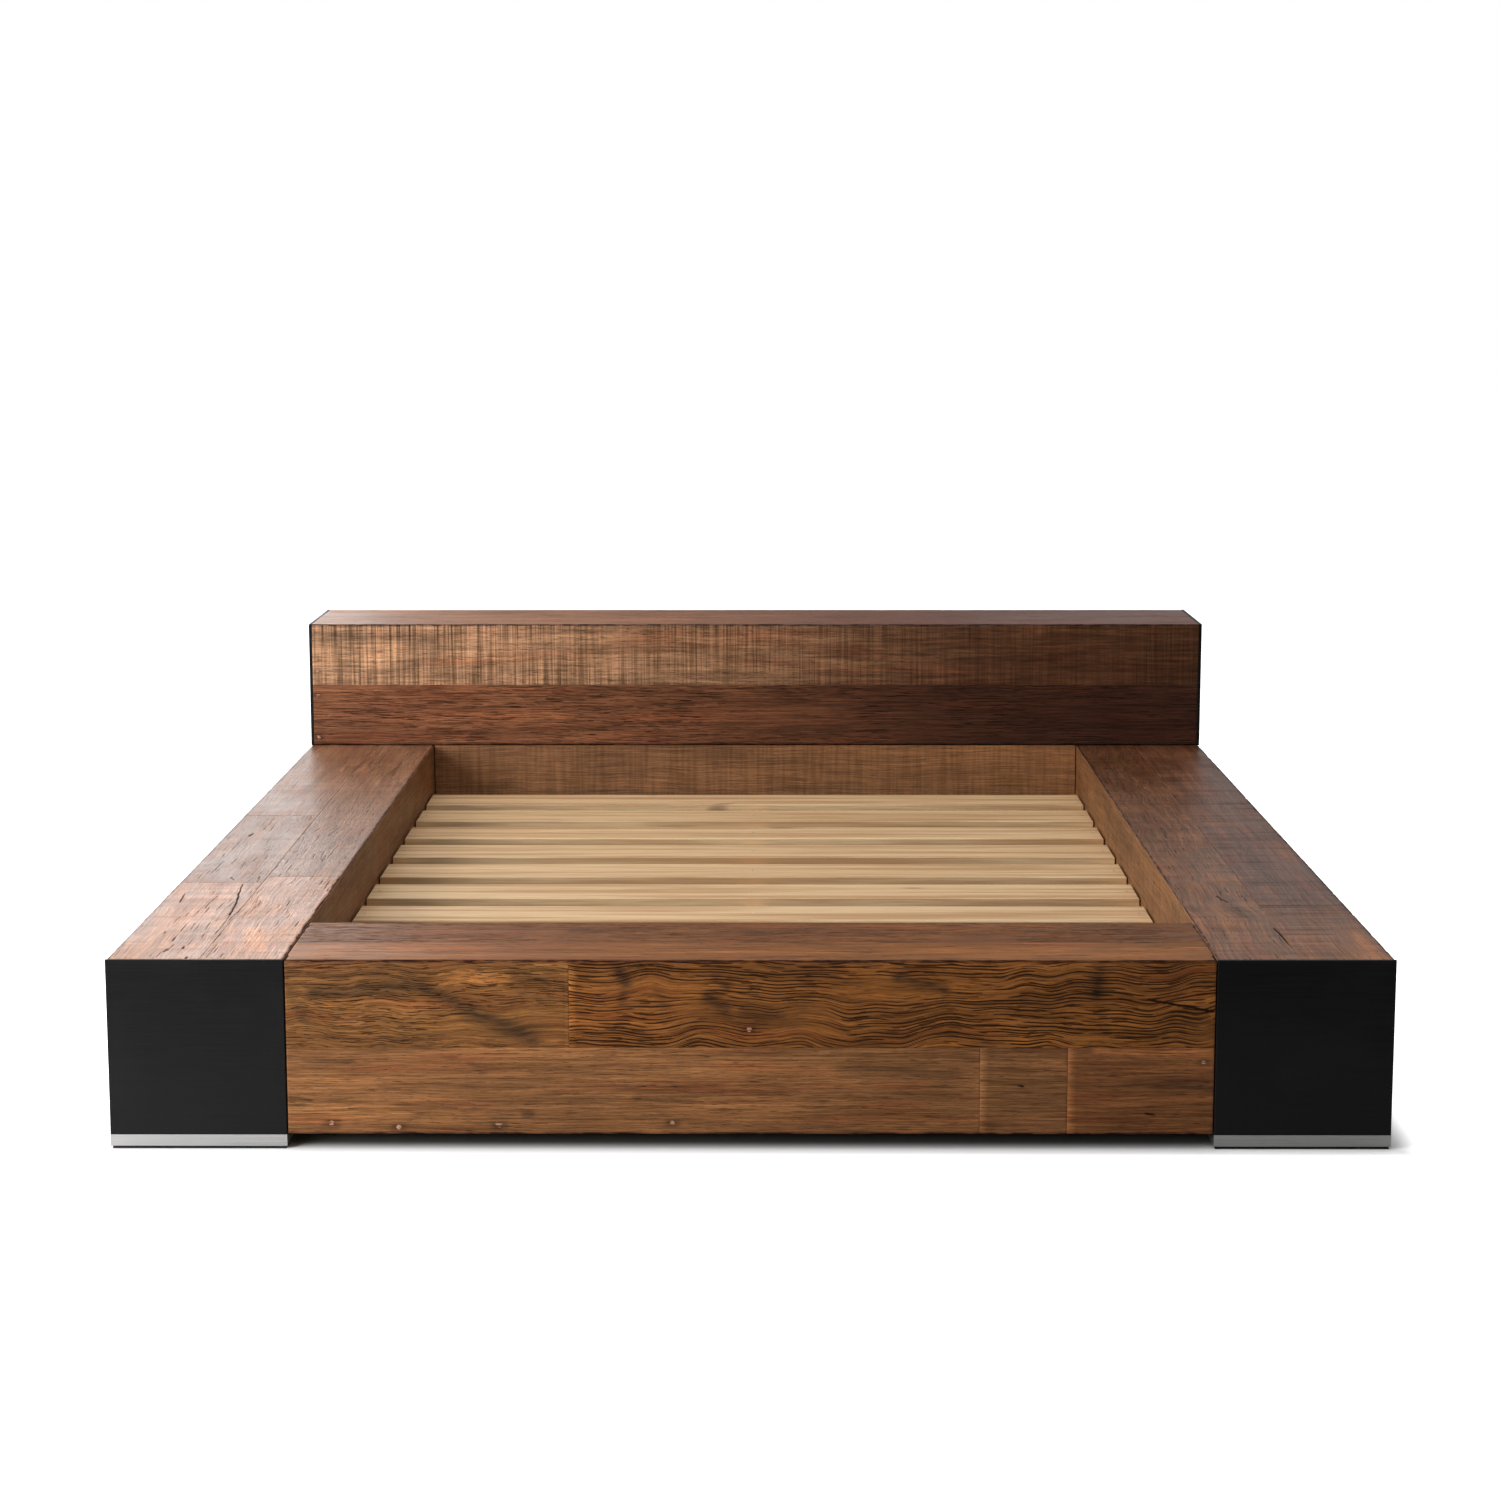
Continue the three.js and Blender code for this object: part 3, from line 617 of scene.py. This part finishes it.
class Material:
    """One material and its nodes. A socket takes a number, a colour or another node's output."""

    def __init__(self, name, **sockets):
        self.material = bpy.data.materials.new(name)
        self.material.use_nodes = True
        self.nodes, self.links = self.material.node_tree.nodes, self.material.node_tree.links
        self.shader = self.nodes["Principled BSDF"]
        self.set(**{key.replace("_", " "): value for key, value in sockets.items()})

    def set(self, **sockets):
        for name, value in sockets.items():
            self.put(self.shader.inputs[name], value)

    def put(self, socket, value):
        if isinstance(value, bpy.types.NodeSocket):
            self.links.new(value, socket)
        elif hasattr(value, "__len__") and len(value) == 3 and socket.type == "RGBA":
            socket.default_value = (*value, 1)
        else:
            socket.default_value = value

    def node(self, kind, inputs, output=0, **settings):
        made = self.nodes.new(kind)
        for key, value in settings.items():
            setattr(made, key, value)
        for key, value in inputs.items():
            self.put(made.inputs[key], value)
        return made.outputs[output]

    def attribute(self, name, output):
        return self.node("ShaderNodeAttribute", {}, output, attribute_name=name)

    def object_place(self):
        return self.node("ShaderNodeTexCoord", {}, "Object")

    def scaled(self, vector, scale):
        return self.node("ShaderNodeVectorMath", {0: vector, 1: scale}, operation="MULTIPLY")

    def noise(self, vector, scale=(1, 1, 1), detail=2.0, roughness=0.5):
        inputs = {
            "Vector": self.scaled(vector, scale),
            "Scale": 1.0,
            "Detail": detail,
            "Roughness": roughness,
        }
        return self.node("ShaderNodeTexNoise", inputs)

    def range(self, value, low, high, to_low=0.0, to_high=1.0, smooth=True):
        inputs = {"Value": value, "From Min": low, "From Max": high, "To Min": to_low, "To Max": to_high}
        kind = "SMOOTHSTEP" if smooth else "LINEAR"
        return self.node("ShaderNodeMapRange", inputs, interpolation_type=kind)

    def math(self, operation, a, b=0.0):
        return self.node("ShaderNodeMath", {0: a, 1: b}, operation=operation)

    def mix(self, share, a, b):
        return self.node("ShaderNodeMix", {0: share, 6: a, 7: b}, 2, data_type="RGBA", blend_type="MIX")

    def bump(self, height, distance, strength=1.0):
        return self.node("ShaderNodeBump", {"Height": height, "Distance": distance, "Strength": strength})


def timber(m, grain, tint, crack, saw, roughness, sheen):
    """Finishes timber from its grain's course, tone, dark lines, saw marks (from -1 to 1) and sheen."""
    bands = m.noise(grain, (2.2, 40, 1), 3, 0.55)
    streaks = m.noise(grain, (7, 300, 1), 3, 0.68)
    fibre = m.noise(grain, (28, 950, 1), 2, 0.6)
    pores = m.range(m.noise(grain, (46, 900, 1), 2, 0.6), 0.56, 0.64)
    patches = m.noise(grain, (5, 14, 1), 3, 0.6)

    calm = m.math("SUBTRACT", 1.0, m.math("MULTIPLY", m.math("ABSOLUTE", saw), 0.9))
    contrast = m.math("MULTIPLY", m.range(streaks, 0.30, 0.70, -0.52, 0.52, smooth=False), calm)
    tone = m.math("ADD", 1.0, contrast)
    tone = m.math("MULTIPLY", tone, m.range(bands, 0.30, 0.70, 0.85, 1.15, smooth=False))
    tone = m.math("MULTIPLY", tone, m.range(fibre, 0.30, 0.70, 0.82, 1.18, smooth=False))
    tone = m.math("MULTIPLY", tone, m.range(patches, 0.3, 0.7, 0.86, 1.14, smooth=False))
    tone = m.math("MULTIPLY", tone, m.math("ADD", 1.0, m.math("MULTIPLY", saw, 0.95)))
    colour = m.node("ShaderNodeVectorMath", {0: tint, "Scale": tone}, operation="SCALE")
    colour = m.mix(m.math("MULTIPLY", pores, 0.55), colour, (0.035, 0.013, 0.005))
    gap = m.range(crack, 0.10, 0.62)
    colour = m.mix(m.math("MULTIPLY", gap, 0.88), colour, (0.010, 0.005, 0.003))

    height = m.math("MULTIPLY", streaks, 0.5)
    height = m.math("SUBTRACT", height, m.math("MULTIPLY", pores, 0.35))
    height = m.math("ADD", height, m.math("MULTIPLY", fibre, 0.25))
    gloss = m.math("ADD", m.range(patches, 0.3, 0.7, *roughness), m.math("MULTIPLY", gap, 0.35))
    m.set(**{"Base Color": colour, "Roughness": gloss, "Normal": m.bump(height, 0.5 * MM, 0.7)})
    streaky = m.range(streaks, 0.3, 0.7, 0.62, 1.38, smooth=False)
    gleam = m.math("MULTIPLY", streaky, m.range(saw, -0.5, 0.1, 0.35, 1))
    m.set(**{"Specular IOR Level": m.math("MULTIPLY", sheen, gleam)})
    return m.material


def worn_timber(name, specular, roughness):
    """Reclaimed timber on boards that carry their own grain and tone, dull in its dark lines and marks."""
    m = Material(name, Specular_IOR_Level=specular)
    crack, saw = m.attribute("crack", "Fac"), m.attribute("saw", "Fac")
    worn = m.math("MAXIMUM", crack, m.attribute("dull", "Fac"))
    sheen = m.range(worn, 0.1, 0.8, specular, BARE_SHEEN)
    grain, tint = m.attribute("grain", "Vector"), m.attribute("tint", "Color")
    return timber(m, grain, tint, crack, saw, roughness, sheen)


def plain_timber(name, tint, along):
    """Timber for a CAD piece, whose grain runs along X or Y."""
    m = Material(name, Specular_IOR_Level=0.4)
    place = m.object_place()
    x, y, z = (m.node("ShaderNodeSeparateXYZ", {0: place}, i) for i in range(3))
    run, cross = (x, y) if along == "x" else (y, x)
    drift = m.math("MULTIPLY", m.noise(place, (4, 4, 4), 2), 0.02)
    course = m.math("ADD", m.math("ADD", z, drift), m.math("MULTIPLY", cross, 0.8))
    grain = m.node("ShaderNodeCombineXYZ", {0: run, 1: course, 2: cross})
    shade = m.mix(m.range(m.noise(place, (1.5, 1.5, 9), 2), 0.35, 0.65), tint, [c * 0.72 for c in tint])
    crack = m.range(m.noise(grain, (11, 160, 1), 2), 0.66, 0.80, 0.0, 0.5)
    saw = m.range(m.noise(grain, (110, 6, 1), 2), 0.3, 0.7, -0.15, 0.15)
    return timber(m, grain, shade, crack, saw, (0.45, 0.60), 0.4)


def pine(name, along):
    """Planed pine, whose grain runs along X or Y."""
    m = Material(name, Specular_IOR_Level=0.35)
    place = m.object_place()
    long, short = (1.2, 40.0) if along == "x" else (40.0, 1.2)
    rings = m.noise(place, (long, short, 40), 3, 0.55)
    fibre = m.noise(place, (long * 8, short * 8, 320), 2, 0.6)
    colour = m.mix(m.range(rings, 0.38, 0.66), (0.62, 0.43, 0.24), (0.42, 0.24, 0.11))
    colour = m.mix(m.range(fibre, 0.35, 0.75, 0.0, 0.35), colour, (0.30, 0.17, 0.08))
    knots = m.range(m.noise(place, (5, 9, 9), 1), 0.74, 0.80)
    colour = m.mix(m.math("MULTIPLY", knots, 0.7), colour, (0.14, 0.065, 0.03))
    height = m.math("ADD", m.math("MULTIPLY", rings, 0.5), m.math("MULTIPLY", fibre, 0.4))
    rough = m.range(fibre, 0.3, 0.7, 0.52, 0.68)
    m.set(**{"Base Color": colour, "Roughness": rough, "Normal": m.bump(height, 0.3 * MM, 0.6)})
    return m.material


def plywood():
    """Bare plywood: a pale face with long figure and slightly rough."""
    m = Material("bare_plywood", Specular_IOR_Level=0.3)
    place = m.object_place()
    figure = m.noise(place, (3, 1.1, 30), 3, 0.6)
    fibre = m.noise(place, (160, 12, 300), 2, 0.6)
    colour = m.mix(m.range(figure, 0.35, 0.65), (0.50, 0.34, 0.19), (0.34, 0.20, 0.10))
    colour = m.mix(m.range(fibre, 0.4, 0.8, 0.0, 0.4), colour, (0.22, 0.13, 0.07))
    rough = m.range(fibre, 0.3, 0.7, 0.60, 0.78)
    m.set(**{"Base Color": colour, "Roughness": rough, "Normal": m.bump(fibre, 0.25 * MM, 0.5)})
    return m.material


def lacquer():
    """Black satin lacquer, rubbed from side to side, with faint handling marks and a painted glow from the
    floor.
    """
    m = Material("black_lacquer", Specular_IOR_Level=0.14)
    place = m.object_place()
    height = m.node("ShaderNodeSeparateXYZ", {0: place}, 2)
    rubbed = m.noise(place, (6, 6, 420), 2, 0.6)
    cloud = m.noise(place, (5, 5, 7), 3, 0.55)
    colour = m.mix(m.range(rubbed, 0.35, 0.70), (0.0022, 0.0021, 0.0022), (0.0052, 0.0050, 0.0052))
    colour = m.mix(m.range(cloud, 0.45, 0.75, 0.0, 0.5), colour, (0.0085, 0.0082, 0.0085))
    # Painted light: paler towards the floor, for the floor's reflection at the foot of each cap.
    dust_and_floor_light = m.range(height, 0.02, 0.30, 0.55, 0.0, smooth=False)
    colour = m.mix(dust_and_floor_light, colour, (0.0125, 0.0122, 0.0135))
    rough = m.math("ADD", m.range(cloud, 0.3, 0.7, 0.34, 0.46), m.range(rubbed, 0.3, 0.7, 0.0, 0.08))
    m.set(**{"Base Color": colour, "Roughness": rough, "Normal": m.bump(rubbed, 0.06 * MM, 0.5)})
    return m.material


def stainless():
    """Brushed stainless tube: fine lines along it, a few smudges."""
    m = Material("brushed_stainless", Metallic=1.0)
    place = m.object_place()
    brushed = m.noise(place, (3, 3, 1600), 2, 0.7)
    smudge = m.noise(place, (7, 7, 40), 3, 0.6)
    colour = m.mix(m.range(brushed, 0.3, 0.7), (0.52, 0.515, 0.505), (0.66, 0.655, 0.645))
    rough = m.math("ADD", m.range(smudge, 0.35, 0.7, 0.26, 0.40), m.range(brushed, 0.3, 0.7, 0.0, 0.08))
    m.set(**{"Base Color": colour, "Roughness": rough, "Normal": m.bump(brushed, 0.05 * MM, 0.5)})
    return m.material


def powder_coat():
    """Black powder coat, with its fine orange peel."""
    m = Material("black_powder_coat", Specular_IOR_Level=0.45)
    place = m.object_place()
    peel = m.noise(place, (900, 900, 900), 2, 0.5)
    worn = m.noise(place, (30, 30, 30), 3, 0.6)
    colour = m.mix(m.range(worn, 0.45, 0.75), (0.018, 0.018, 0.019), (0.040, 0.039, 0.038))
    rough = m.range(worn, 0.3, 0.7, 0.42, 0.58)
    m.set(**{"Base Color": colour, "Roughness": rough, "Normal": m.bump(peel, 0.08 * MM, 0.6)})
    return m.material


def rubber():
    """Black rubber strip, dusty towards the floor."""
    m = Material("black_rubber", Specular_IOR_Level=0.3)
    place = m.object_place()
    grit = m.noise(place, (500, 500, 500), 2, 0.6)
    dust_and_floor_light = m.noise(place, (18, 18, 60), 3, 0.6)
    colour = m.mix(m.range(dust_and_floor_light, 0.45, 0.75, 0.0, 0.6), (0.012, 0.012, 0.012), (0.045, 0.043, 0.040))
    rough = m.range(grit, 0.3, 0.7, 0.80, 0.95)
    m.set(**{"Base Color": colour, "Roughness": rough, "Normal": m.bump(grit, 0.1 * MM, 0.5)})
    return m.material


def zinc():
    """Bright zinc of screws and bolts, a little dull in places."""
    m = Material("zinc_plate", Metallic=1.0)
    place = m.object_place()
    bloom = m.noise(place, (220, 220, 220), 3, 0.6)
    colour = m.mix(m.range(bloom, 0.35, 0.7), (0.60, 0.59, 0.55), (0.42, 0.41, 0.38))
    rough = m.range(bloom, 0.3, 0.7, 0.28, 0.5)
    m.set(**{"Base Color": colour, "Roughness": rough, "Normal": m.bump(bloom, 0.05 * MM, 0.4)})
    return m.material


def plug_filler():
    """The pale putty and end grain in old nail holes."""
    m = Material("nail_plug", Specular_IOR_Level=0.35)
    place = m.object_place()
    speck = m.noise(place, (420, 420, 420), 3, 0.6)
    colour = m.mix(m.range(speck, 0.35, 0.65), (0.50, 0.26, 0.17), (0.30, 0.13, 0.075))
    rough = m.range(speck, 0.3, 0.7, 0.5, 0.7)
    m.set(**{"Base Color": colour, "Roughness": rough, "Normal": m.bump(speck, 0.3 * MM, 0.6)})
    return m.material


def pale_floor():
    """A pale studio floor that runs into a white surround.

    The camera finds it grey under the bed, a painted shadow, and white from 8 cm beside it. Other rays find
    pale card at its left and grey card at its right, as in a studio that is lit from the left.
    """
    m = Material("studio_floor", Specular_IOR_Level=0.0, Roughness=0.9)
    place = m.object_place()
    x, y = (m.node("ShaderNodeSeparateXYZ", {0: place}, i) for i in range(2))
    beside = m.math("SUBTRACT", m.math("ABSOLUTE", x), CAD_BOX[1].x)
    beyond = m.math("SUBTRACT", m.math("ABSOLUTE", y), CAD_BOX[1].y)
    away = m.math("MAXIMUM", beside, beyond)
    seen = m.node("ShaderNodeLightPath", {}, "Is Camera Ray")
    glow = m.math("MULTIPLY", seen, m.range(away, 0.0, 0.08))
    tone = m.noise(place, (1.5, 1.5, 1.5), 2)
    pale = m.mix(m.range(tone, 0.3, 0.7), (0.90, 0.90, 0.90), (0.92, 0.92, 0.92))
    # Painted shadow: the camera sees the floor under the bed painted grey.
    pale = m.mix(m.range(away, -0.05, 0.01), (0.20, 0.215, 0.22), pale)
    card = m.mix(m.range(x, -1.3, 0.9), (0.72, 0.72, 0.72), (0.35, 0.35, 0.35))
    colour = m.mix(seen, card, pale)
    m.set(**{"Base Color": colour, "Emission Color": (1.0, 1.0, 1.0), "Emission Strength": glow})
    return m.material


# ---- Fasteners ----


def turned(profile, sides, place, direction):
    """A solid of revolution: profile holds (radius, height) pairs, the first and last on the axis."""
    bm = bmesh.new()
    ring = []
    for radius, height in profile:
        if radius == 0:
            ring.append([bm.verts.new((0, 0, height))] * sides)
        else:
            angles = [2 * math.pi * k / sides for k in range(sides)]
            ring.append([bm.verts.new((radius * math.cos(a), radius * math.sin(a), height)) for a in angles])
    for lower, upper in zip(ring, ring[1:]):
        for k in range(sides):
            loop = [lower[k], lower[(k + 1) % sides], upper[(k + 1) % sides], upper[k]]
            bm.faces.new(list(dict.fromkeys(loop)))
    turn = Vector((0, 0, 1)).rotation_difference(Vector(direction)).to_matrix().to_4x4()
    bm.transform(Matrix.Translation(place) @ turn)
    bmesh.ops.recalc_face_normals(bm, faces=bm.faces)
    return bm


def joined_piece(name, parts, material):
    """One piece from several small solids, with smooth round sides."""
    mesh = bpy.data.meshes.new(name)
    whole = bmesh.new()
    for part in parts:
        part.to_mesh(mesh)
        whole.from_mesh(mesh)
        part.free()
    whole.to_mesh(mesh)
    whole.free()
    mesh.polygons.foreach_set("use_smooth", np.ones(len(mesh.polygons), bool))
    mesh.set_sharp_from_angle(angle=math.radians(30))
    return finish_piece(bpy.data.objects.new(name, mesh), material)


def countersunk_screw(place, direction):
    """A screw head seated in its countersink, with a round recess for the driver and a short shank."""
    r = 3.9 * MM
    profile = [
        (0, -9 * MM),
        (2.0 * MM, -9 * MM),
        (2.0 * MM, -2.2 * MM),
        (r, -0.45 * MM),
        (r, -0.25 * MM),
        (r * 0.55, -0.1 * MM),
        (r * 0.40, -1.4 * MM),
        (0, -1.8 * MM),
    ]
    return turned(profile, 20, place, direction)


def hex_bolt(place, direction):
    """A washer and a hexagonal head with a chamfered top. place is on the face that it clamps."""
    washer = [(0, 0.1 * MM), (9.5 * MM, 0.1 * MM), (9.5 * MM, 1.5 * MM), (9.0 * MM, 1.7 * MM), (0, 1.7 * MM)]
    head = [
        (0, 1.8 * MM),
        (7.2 * MM, 1.8 * MM),
        (7.5 * MM, 2.2 * MM),
        (7.5 * MM, 6.4 * MM),
        (6.4 * MM, 7.2 * MM),
        (0, 7.2 * MM),
    ]
    return [turned(washer, 28, place, direction), turned(head, 6, place, direction)]


def nail_plug(place, direction, radius):
    """A plug whose top is just below the CAD face of its board, so it fills its hole in the worn one."""
    profile = [
        (0, -6 * MM),
        (radius, -6 * MM),
        (radius, -0.45 * MM),
        (radius * 0.8, -0.2 * MM),
        (0, -0.1 * MM),
    ]
    return turned(profile, 18, place, direction)


def slat_screws(material):
    """Three screws through each slat: into both ledgers and the centre beam."""
    ledgers = [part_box("left_ledger"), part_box("right_ledger"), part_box("centre_beam")]
    columns = [(low.x + high.x) / 2 for low, high in ledgers]
    parts = []
    for name in sorted(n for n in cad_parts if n.startswith("slat_")):
        low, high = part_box(name)
        for x in columns:
            parts.append(countersunk_screw((x, (low.y + high.y) / 2, high.z), (0, 0, 1)))
    return joined_piece("slat_screws", parts, material)


def bracket_bolts(material):
    """The bolts through both legs of each corner bracket."""
    parts = []
    for end, away in (("front", 1), ("rear", -1)):
        for side, out in (("left", -1), ("right", 1)):
            low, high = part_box(f"corner_bracket_{end}_{side}")
            corner_x = low.x if out < 0 else high.x
            corner_y = low.y if away > 0 else high.y
            leg, plate = (high.x - low.x) * 0.6, 5 * MM
            for share in (0.25, 0.75):
                z = low.z + (high.z - low.z) * share
                parts += hex_bolt((corner_x - out * plate, corner_y + away * leg, z), (-out, 0, 0))
                parts += hex_bolt((corner_x - out * leg, corner_y + away * plate, z), (0, away, 0))
    return joined_piece("bracket_bolts", parts, material)


def weld_bead(name, leg, material):
    """The rippled bead that joins a leg's tube to its plate."""
    low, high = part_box(leg)
    centre = ((low.x + high.x) / 2, (low.y + high.y) / 2, high.z - 4 * MM)
    tube, ripples, sides = 19 * MM, 120, 8
    bm = bmesh.new()
    rings = []
    for k in range(ripples):
        a = 2 * math.pi * k / ripples
        r = (1.7 + 0.35 * math.sin(a * 40)) * MM
        ring = []
        for s in range(sides):
            b = 2 * math.pi * s / sides
            reach = tube + 1.1 * MM + r * math.cos(b)
            ring.append(bm.verts.new((reach * math.cos(a), reach * math.sin(a), r * math.sin(b) - 1.3 * MM)))
        rings.append(ring)
    for k in range(ripples):
        for s in range(sides):
            a, b = rings[k], rings[(k + 1) % ripples]
            bm.faces.new([a[s], b[s], b[(s + 1) % sides], a[(s + 1) % sides]])
    bm.transform(Matrix.Translation(centre))
    bmesh.ops.recalc_face_normals(bm, faces=bm.faces)
    return joined_piece(name, [bm], material)


# Plugged nail holes: (from the left or front end, from the lower or outer edge, radius in millimetres).
PLUGS = {
    "front_rail_face_lower_left_board": [
        (0.075, 0.019, 6.0),
        (0.190, 0.012, 5.5),
        (0.362, 0.019, 7.0),
        (0.412, 0.036, 4.5),
        (0.66, 0.020, 5.0),
    ],
    "front_rail_face_upper_right_board": [(0.308, 0.032, 4.5)],
    "front_rail_face_lower_right_board": [(0.232, 0.128, 4.2)],
    "headboard_face_upper_board": [(0.012, 0.035, 4.0)],
    "headboard_face_lower_board": [(0.012, 0.125, 5.5), (0.012, 0.020, 5.5)],
}


def nail_plugs(material):
    """The plugs of each face that has some."""
    for node, plugs in PLUGS.items():
        low, _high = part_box(node)
        parts = [nail_plug((low.x + x, low.y, low.z + z), (0, -1, 0), r * MM) for x, z, r in plugs]
        joined_piece(node.replace("_board", "_plugs"), parts, material)


# ---- The CAD pieces that keep their shape ----


def soften(node, width):
    """Eases the edges of a CAD piece by a bevel modifier."""
    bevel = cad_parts[node].modifiers.new("eased", "BEVEL")
    bevel.width, bevel.segments, bevel.limit_method = width, 2, "ANGLE"


def paint(node, material):
    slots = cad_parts[node].data.materials
    slots.clear()
    slots.append(material)


def finish_cad_pieces():
    black, steel, coat = lacquer(), stainless(), powder_coat()
    slat, runner, ply, pad = pine("pine_across", "x"), pine("pine_along", "y"), plywood(), rubber()
    inner_y = plain_timber("timber_along_beam", GOLDEN, "y")
    inner_x = plain_timber("timber_along_rail", GOLDEN, "x")
    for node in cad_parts:
        if node in BOARD_LOOKS:
            continue
        if node.endswith("_cap"):
            paint(node, black)
            soften(node, 0.35 * MM)
        elif node.endswith("_plinth"):
            paint(node, steel)
            soften(node, 0.5 * MM)
        elif node.endswith("_plinth_pad"):
            paint(node, pad)
        elif node.endswith("_bottom_panel"):
            paint(node, ply)
        elif node.startswith("slat_"):
            paint(node, slat)
            soften(node, 0.5 * MM)
        elif node.endswith("_ledger") or node == "centre_beam":
            paint(node, runner)
            soften(node, 1.5 * MM)
        elif node.startswith(("corner_bracket", "centre_leg")):
            paint(node, coat)
            soften(node, 0.6 * MM)
        else:
            paint(node, inner_y if "beam" in node else inner_x)
            soften(node, 0.8 * MM)


# ---- Studio ----


def softbox(name, place, target, size, watts):
    """A rectangular lamp that faces a target and that the camera doesn't see."""
    lamp = bpy.data.lights.new(name, "AREA")
    lamp.shape = "RECTANGLE"
    lamp.size, lamp.size_y = size
    lamp.energy = watts
    box = bpy.data.objects.new(name, lamp)
    bpy.context.scene.collection.objects.link(box)
    box.location = place
    box.rotation_euler = (Vector(target) - Vector(place)).to_track_quat("-Z", "Y").to_euler()
    box.visible_camera = False


def studio():
    """A pale floor, a white surround that dims in reflections, and soft lamps that favour the left."""
    bpy.ops.mesh.primitive_plane_add(size=60, location=(0, 0, 0))
    floor = bpy.context.active_object
    floor.name = "studio_floor"
    floor.data.materials.append(pale_floor())
    softbox("overhead", (-0.6, -0.4, 4.4), (-0.2, 0, 0), (6, 6), 215)
    softbox("key_left", (-3.0, -3.4, 1.5), (-0.4, -1.3, 0.2), (1.8, 1.8), 135)
    softbox("side_left", (-2.9, -0.4, 1.5), (-0.8, 1.0, 0.4), (1.2, 1.2), 26)
    softbox("back_left", (-3.3, 5.6, 2.6), (-1.2, 0, 0.3), (3.7, 3.4), 84)
    softbox("back_right", (2.8, 5.6, 2.0), (1.2, 0, 0.3), (4.0, 3.2), 7)
    world = bpy.data.worlds.new("surround")
    bpy.context.scene.world = world
    world.use_nodes = True
    nodes, links = world.node_tree.nodes, world.node_tree.links
    seen, unseen = nodes.new("ShaderNodeBackground"), nodes.new("ShaderNodeBackground")
    pick = nodes.new("ShaderNodeMixShader")
    seen.inputs["Color"].default_value = (1, 1, 1, 1)
    seen.inputs["Strength"].default_value = 1.0
    unseen.inputs["Color"].default_value = (0.95, 0.97, 1.0, 1)
    unseen.inputs["Strength"].default_value = 0.20
    path = nodes.new("ShaderNodeLightPath")
    links.new(path.outputs["Is Camera Ray"], pick.inputs[0])
    links.new(unseen.outputs[0], pick.inputs[1])
    links.new(seen.outputs[0], pick.inputs[2])
    links.new(pick.outputs[0], nodes["World Output"].inputs["Surface"])


def camera():
    """A 72 mm lens at eye height, five metres in front of the bed, level but for looking down a little."""
    lens = bpy.data.cameras.new("camera")
    lens.lens, lens.sensor_width = 72.2, 36
    eye = bpy.data.objects.new("camera", lens)
    bpy.context.scene.collection.objects.link(eye)
    aside, back, height = 0.027, 5.001, 1.485
    down, roll, turn = 8.98, 0.04, 0.30
    eye.location = (aside, CAD_BOX[0].y - back, height)
    eye.rotation_euler = Euler([math.radians(a) for a in (90 - down, roll, turn)])
    bpy.context.scene.camera = eye


camera()
studio()
finish_cad_pieces()
WAXED = worn_timber("reclaimed_timber_waxed", 0.20, (0.46, 0.60))
OILED = worn_timber("reclaimed_timber_oiled", 0.20, (0.34, 0.46))
POLISHED = worn_timber("reclaimed_timber_polished", 0.55, (0.30, 0.40))
for board, board_look in BOARD_LOOKS.items():
    is_top = "_top_" in board
    finish = OILED if board.startswith("front_rail_top") else POLISHED if is_top else WAXED
    worn_board(board, board_look, finish, polished=is_top)
ZINC, COAT_BEAD = zinc(), powder_coat()
slat_screws(ZINC)
bracket_bolts(ZINC)
weld_bead("weld_bead_front", "centre_leg_front", COAT_BEAD)
weld_bead("weld_bead_rear", "centre_leg_rear", COAT_BEAD)
nail_plugs(plug_filler())

bpy.context.scene.view_settings.view_transform = "Standard"
bpy.context.view_layer.update()
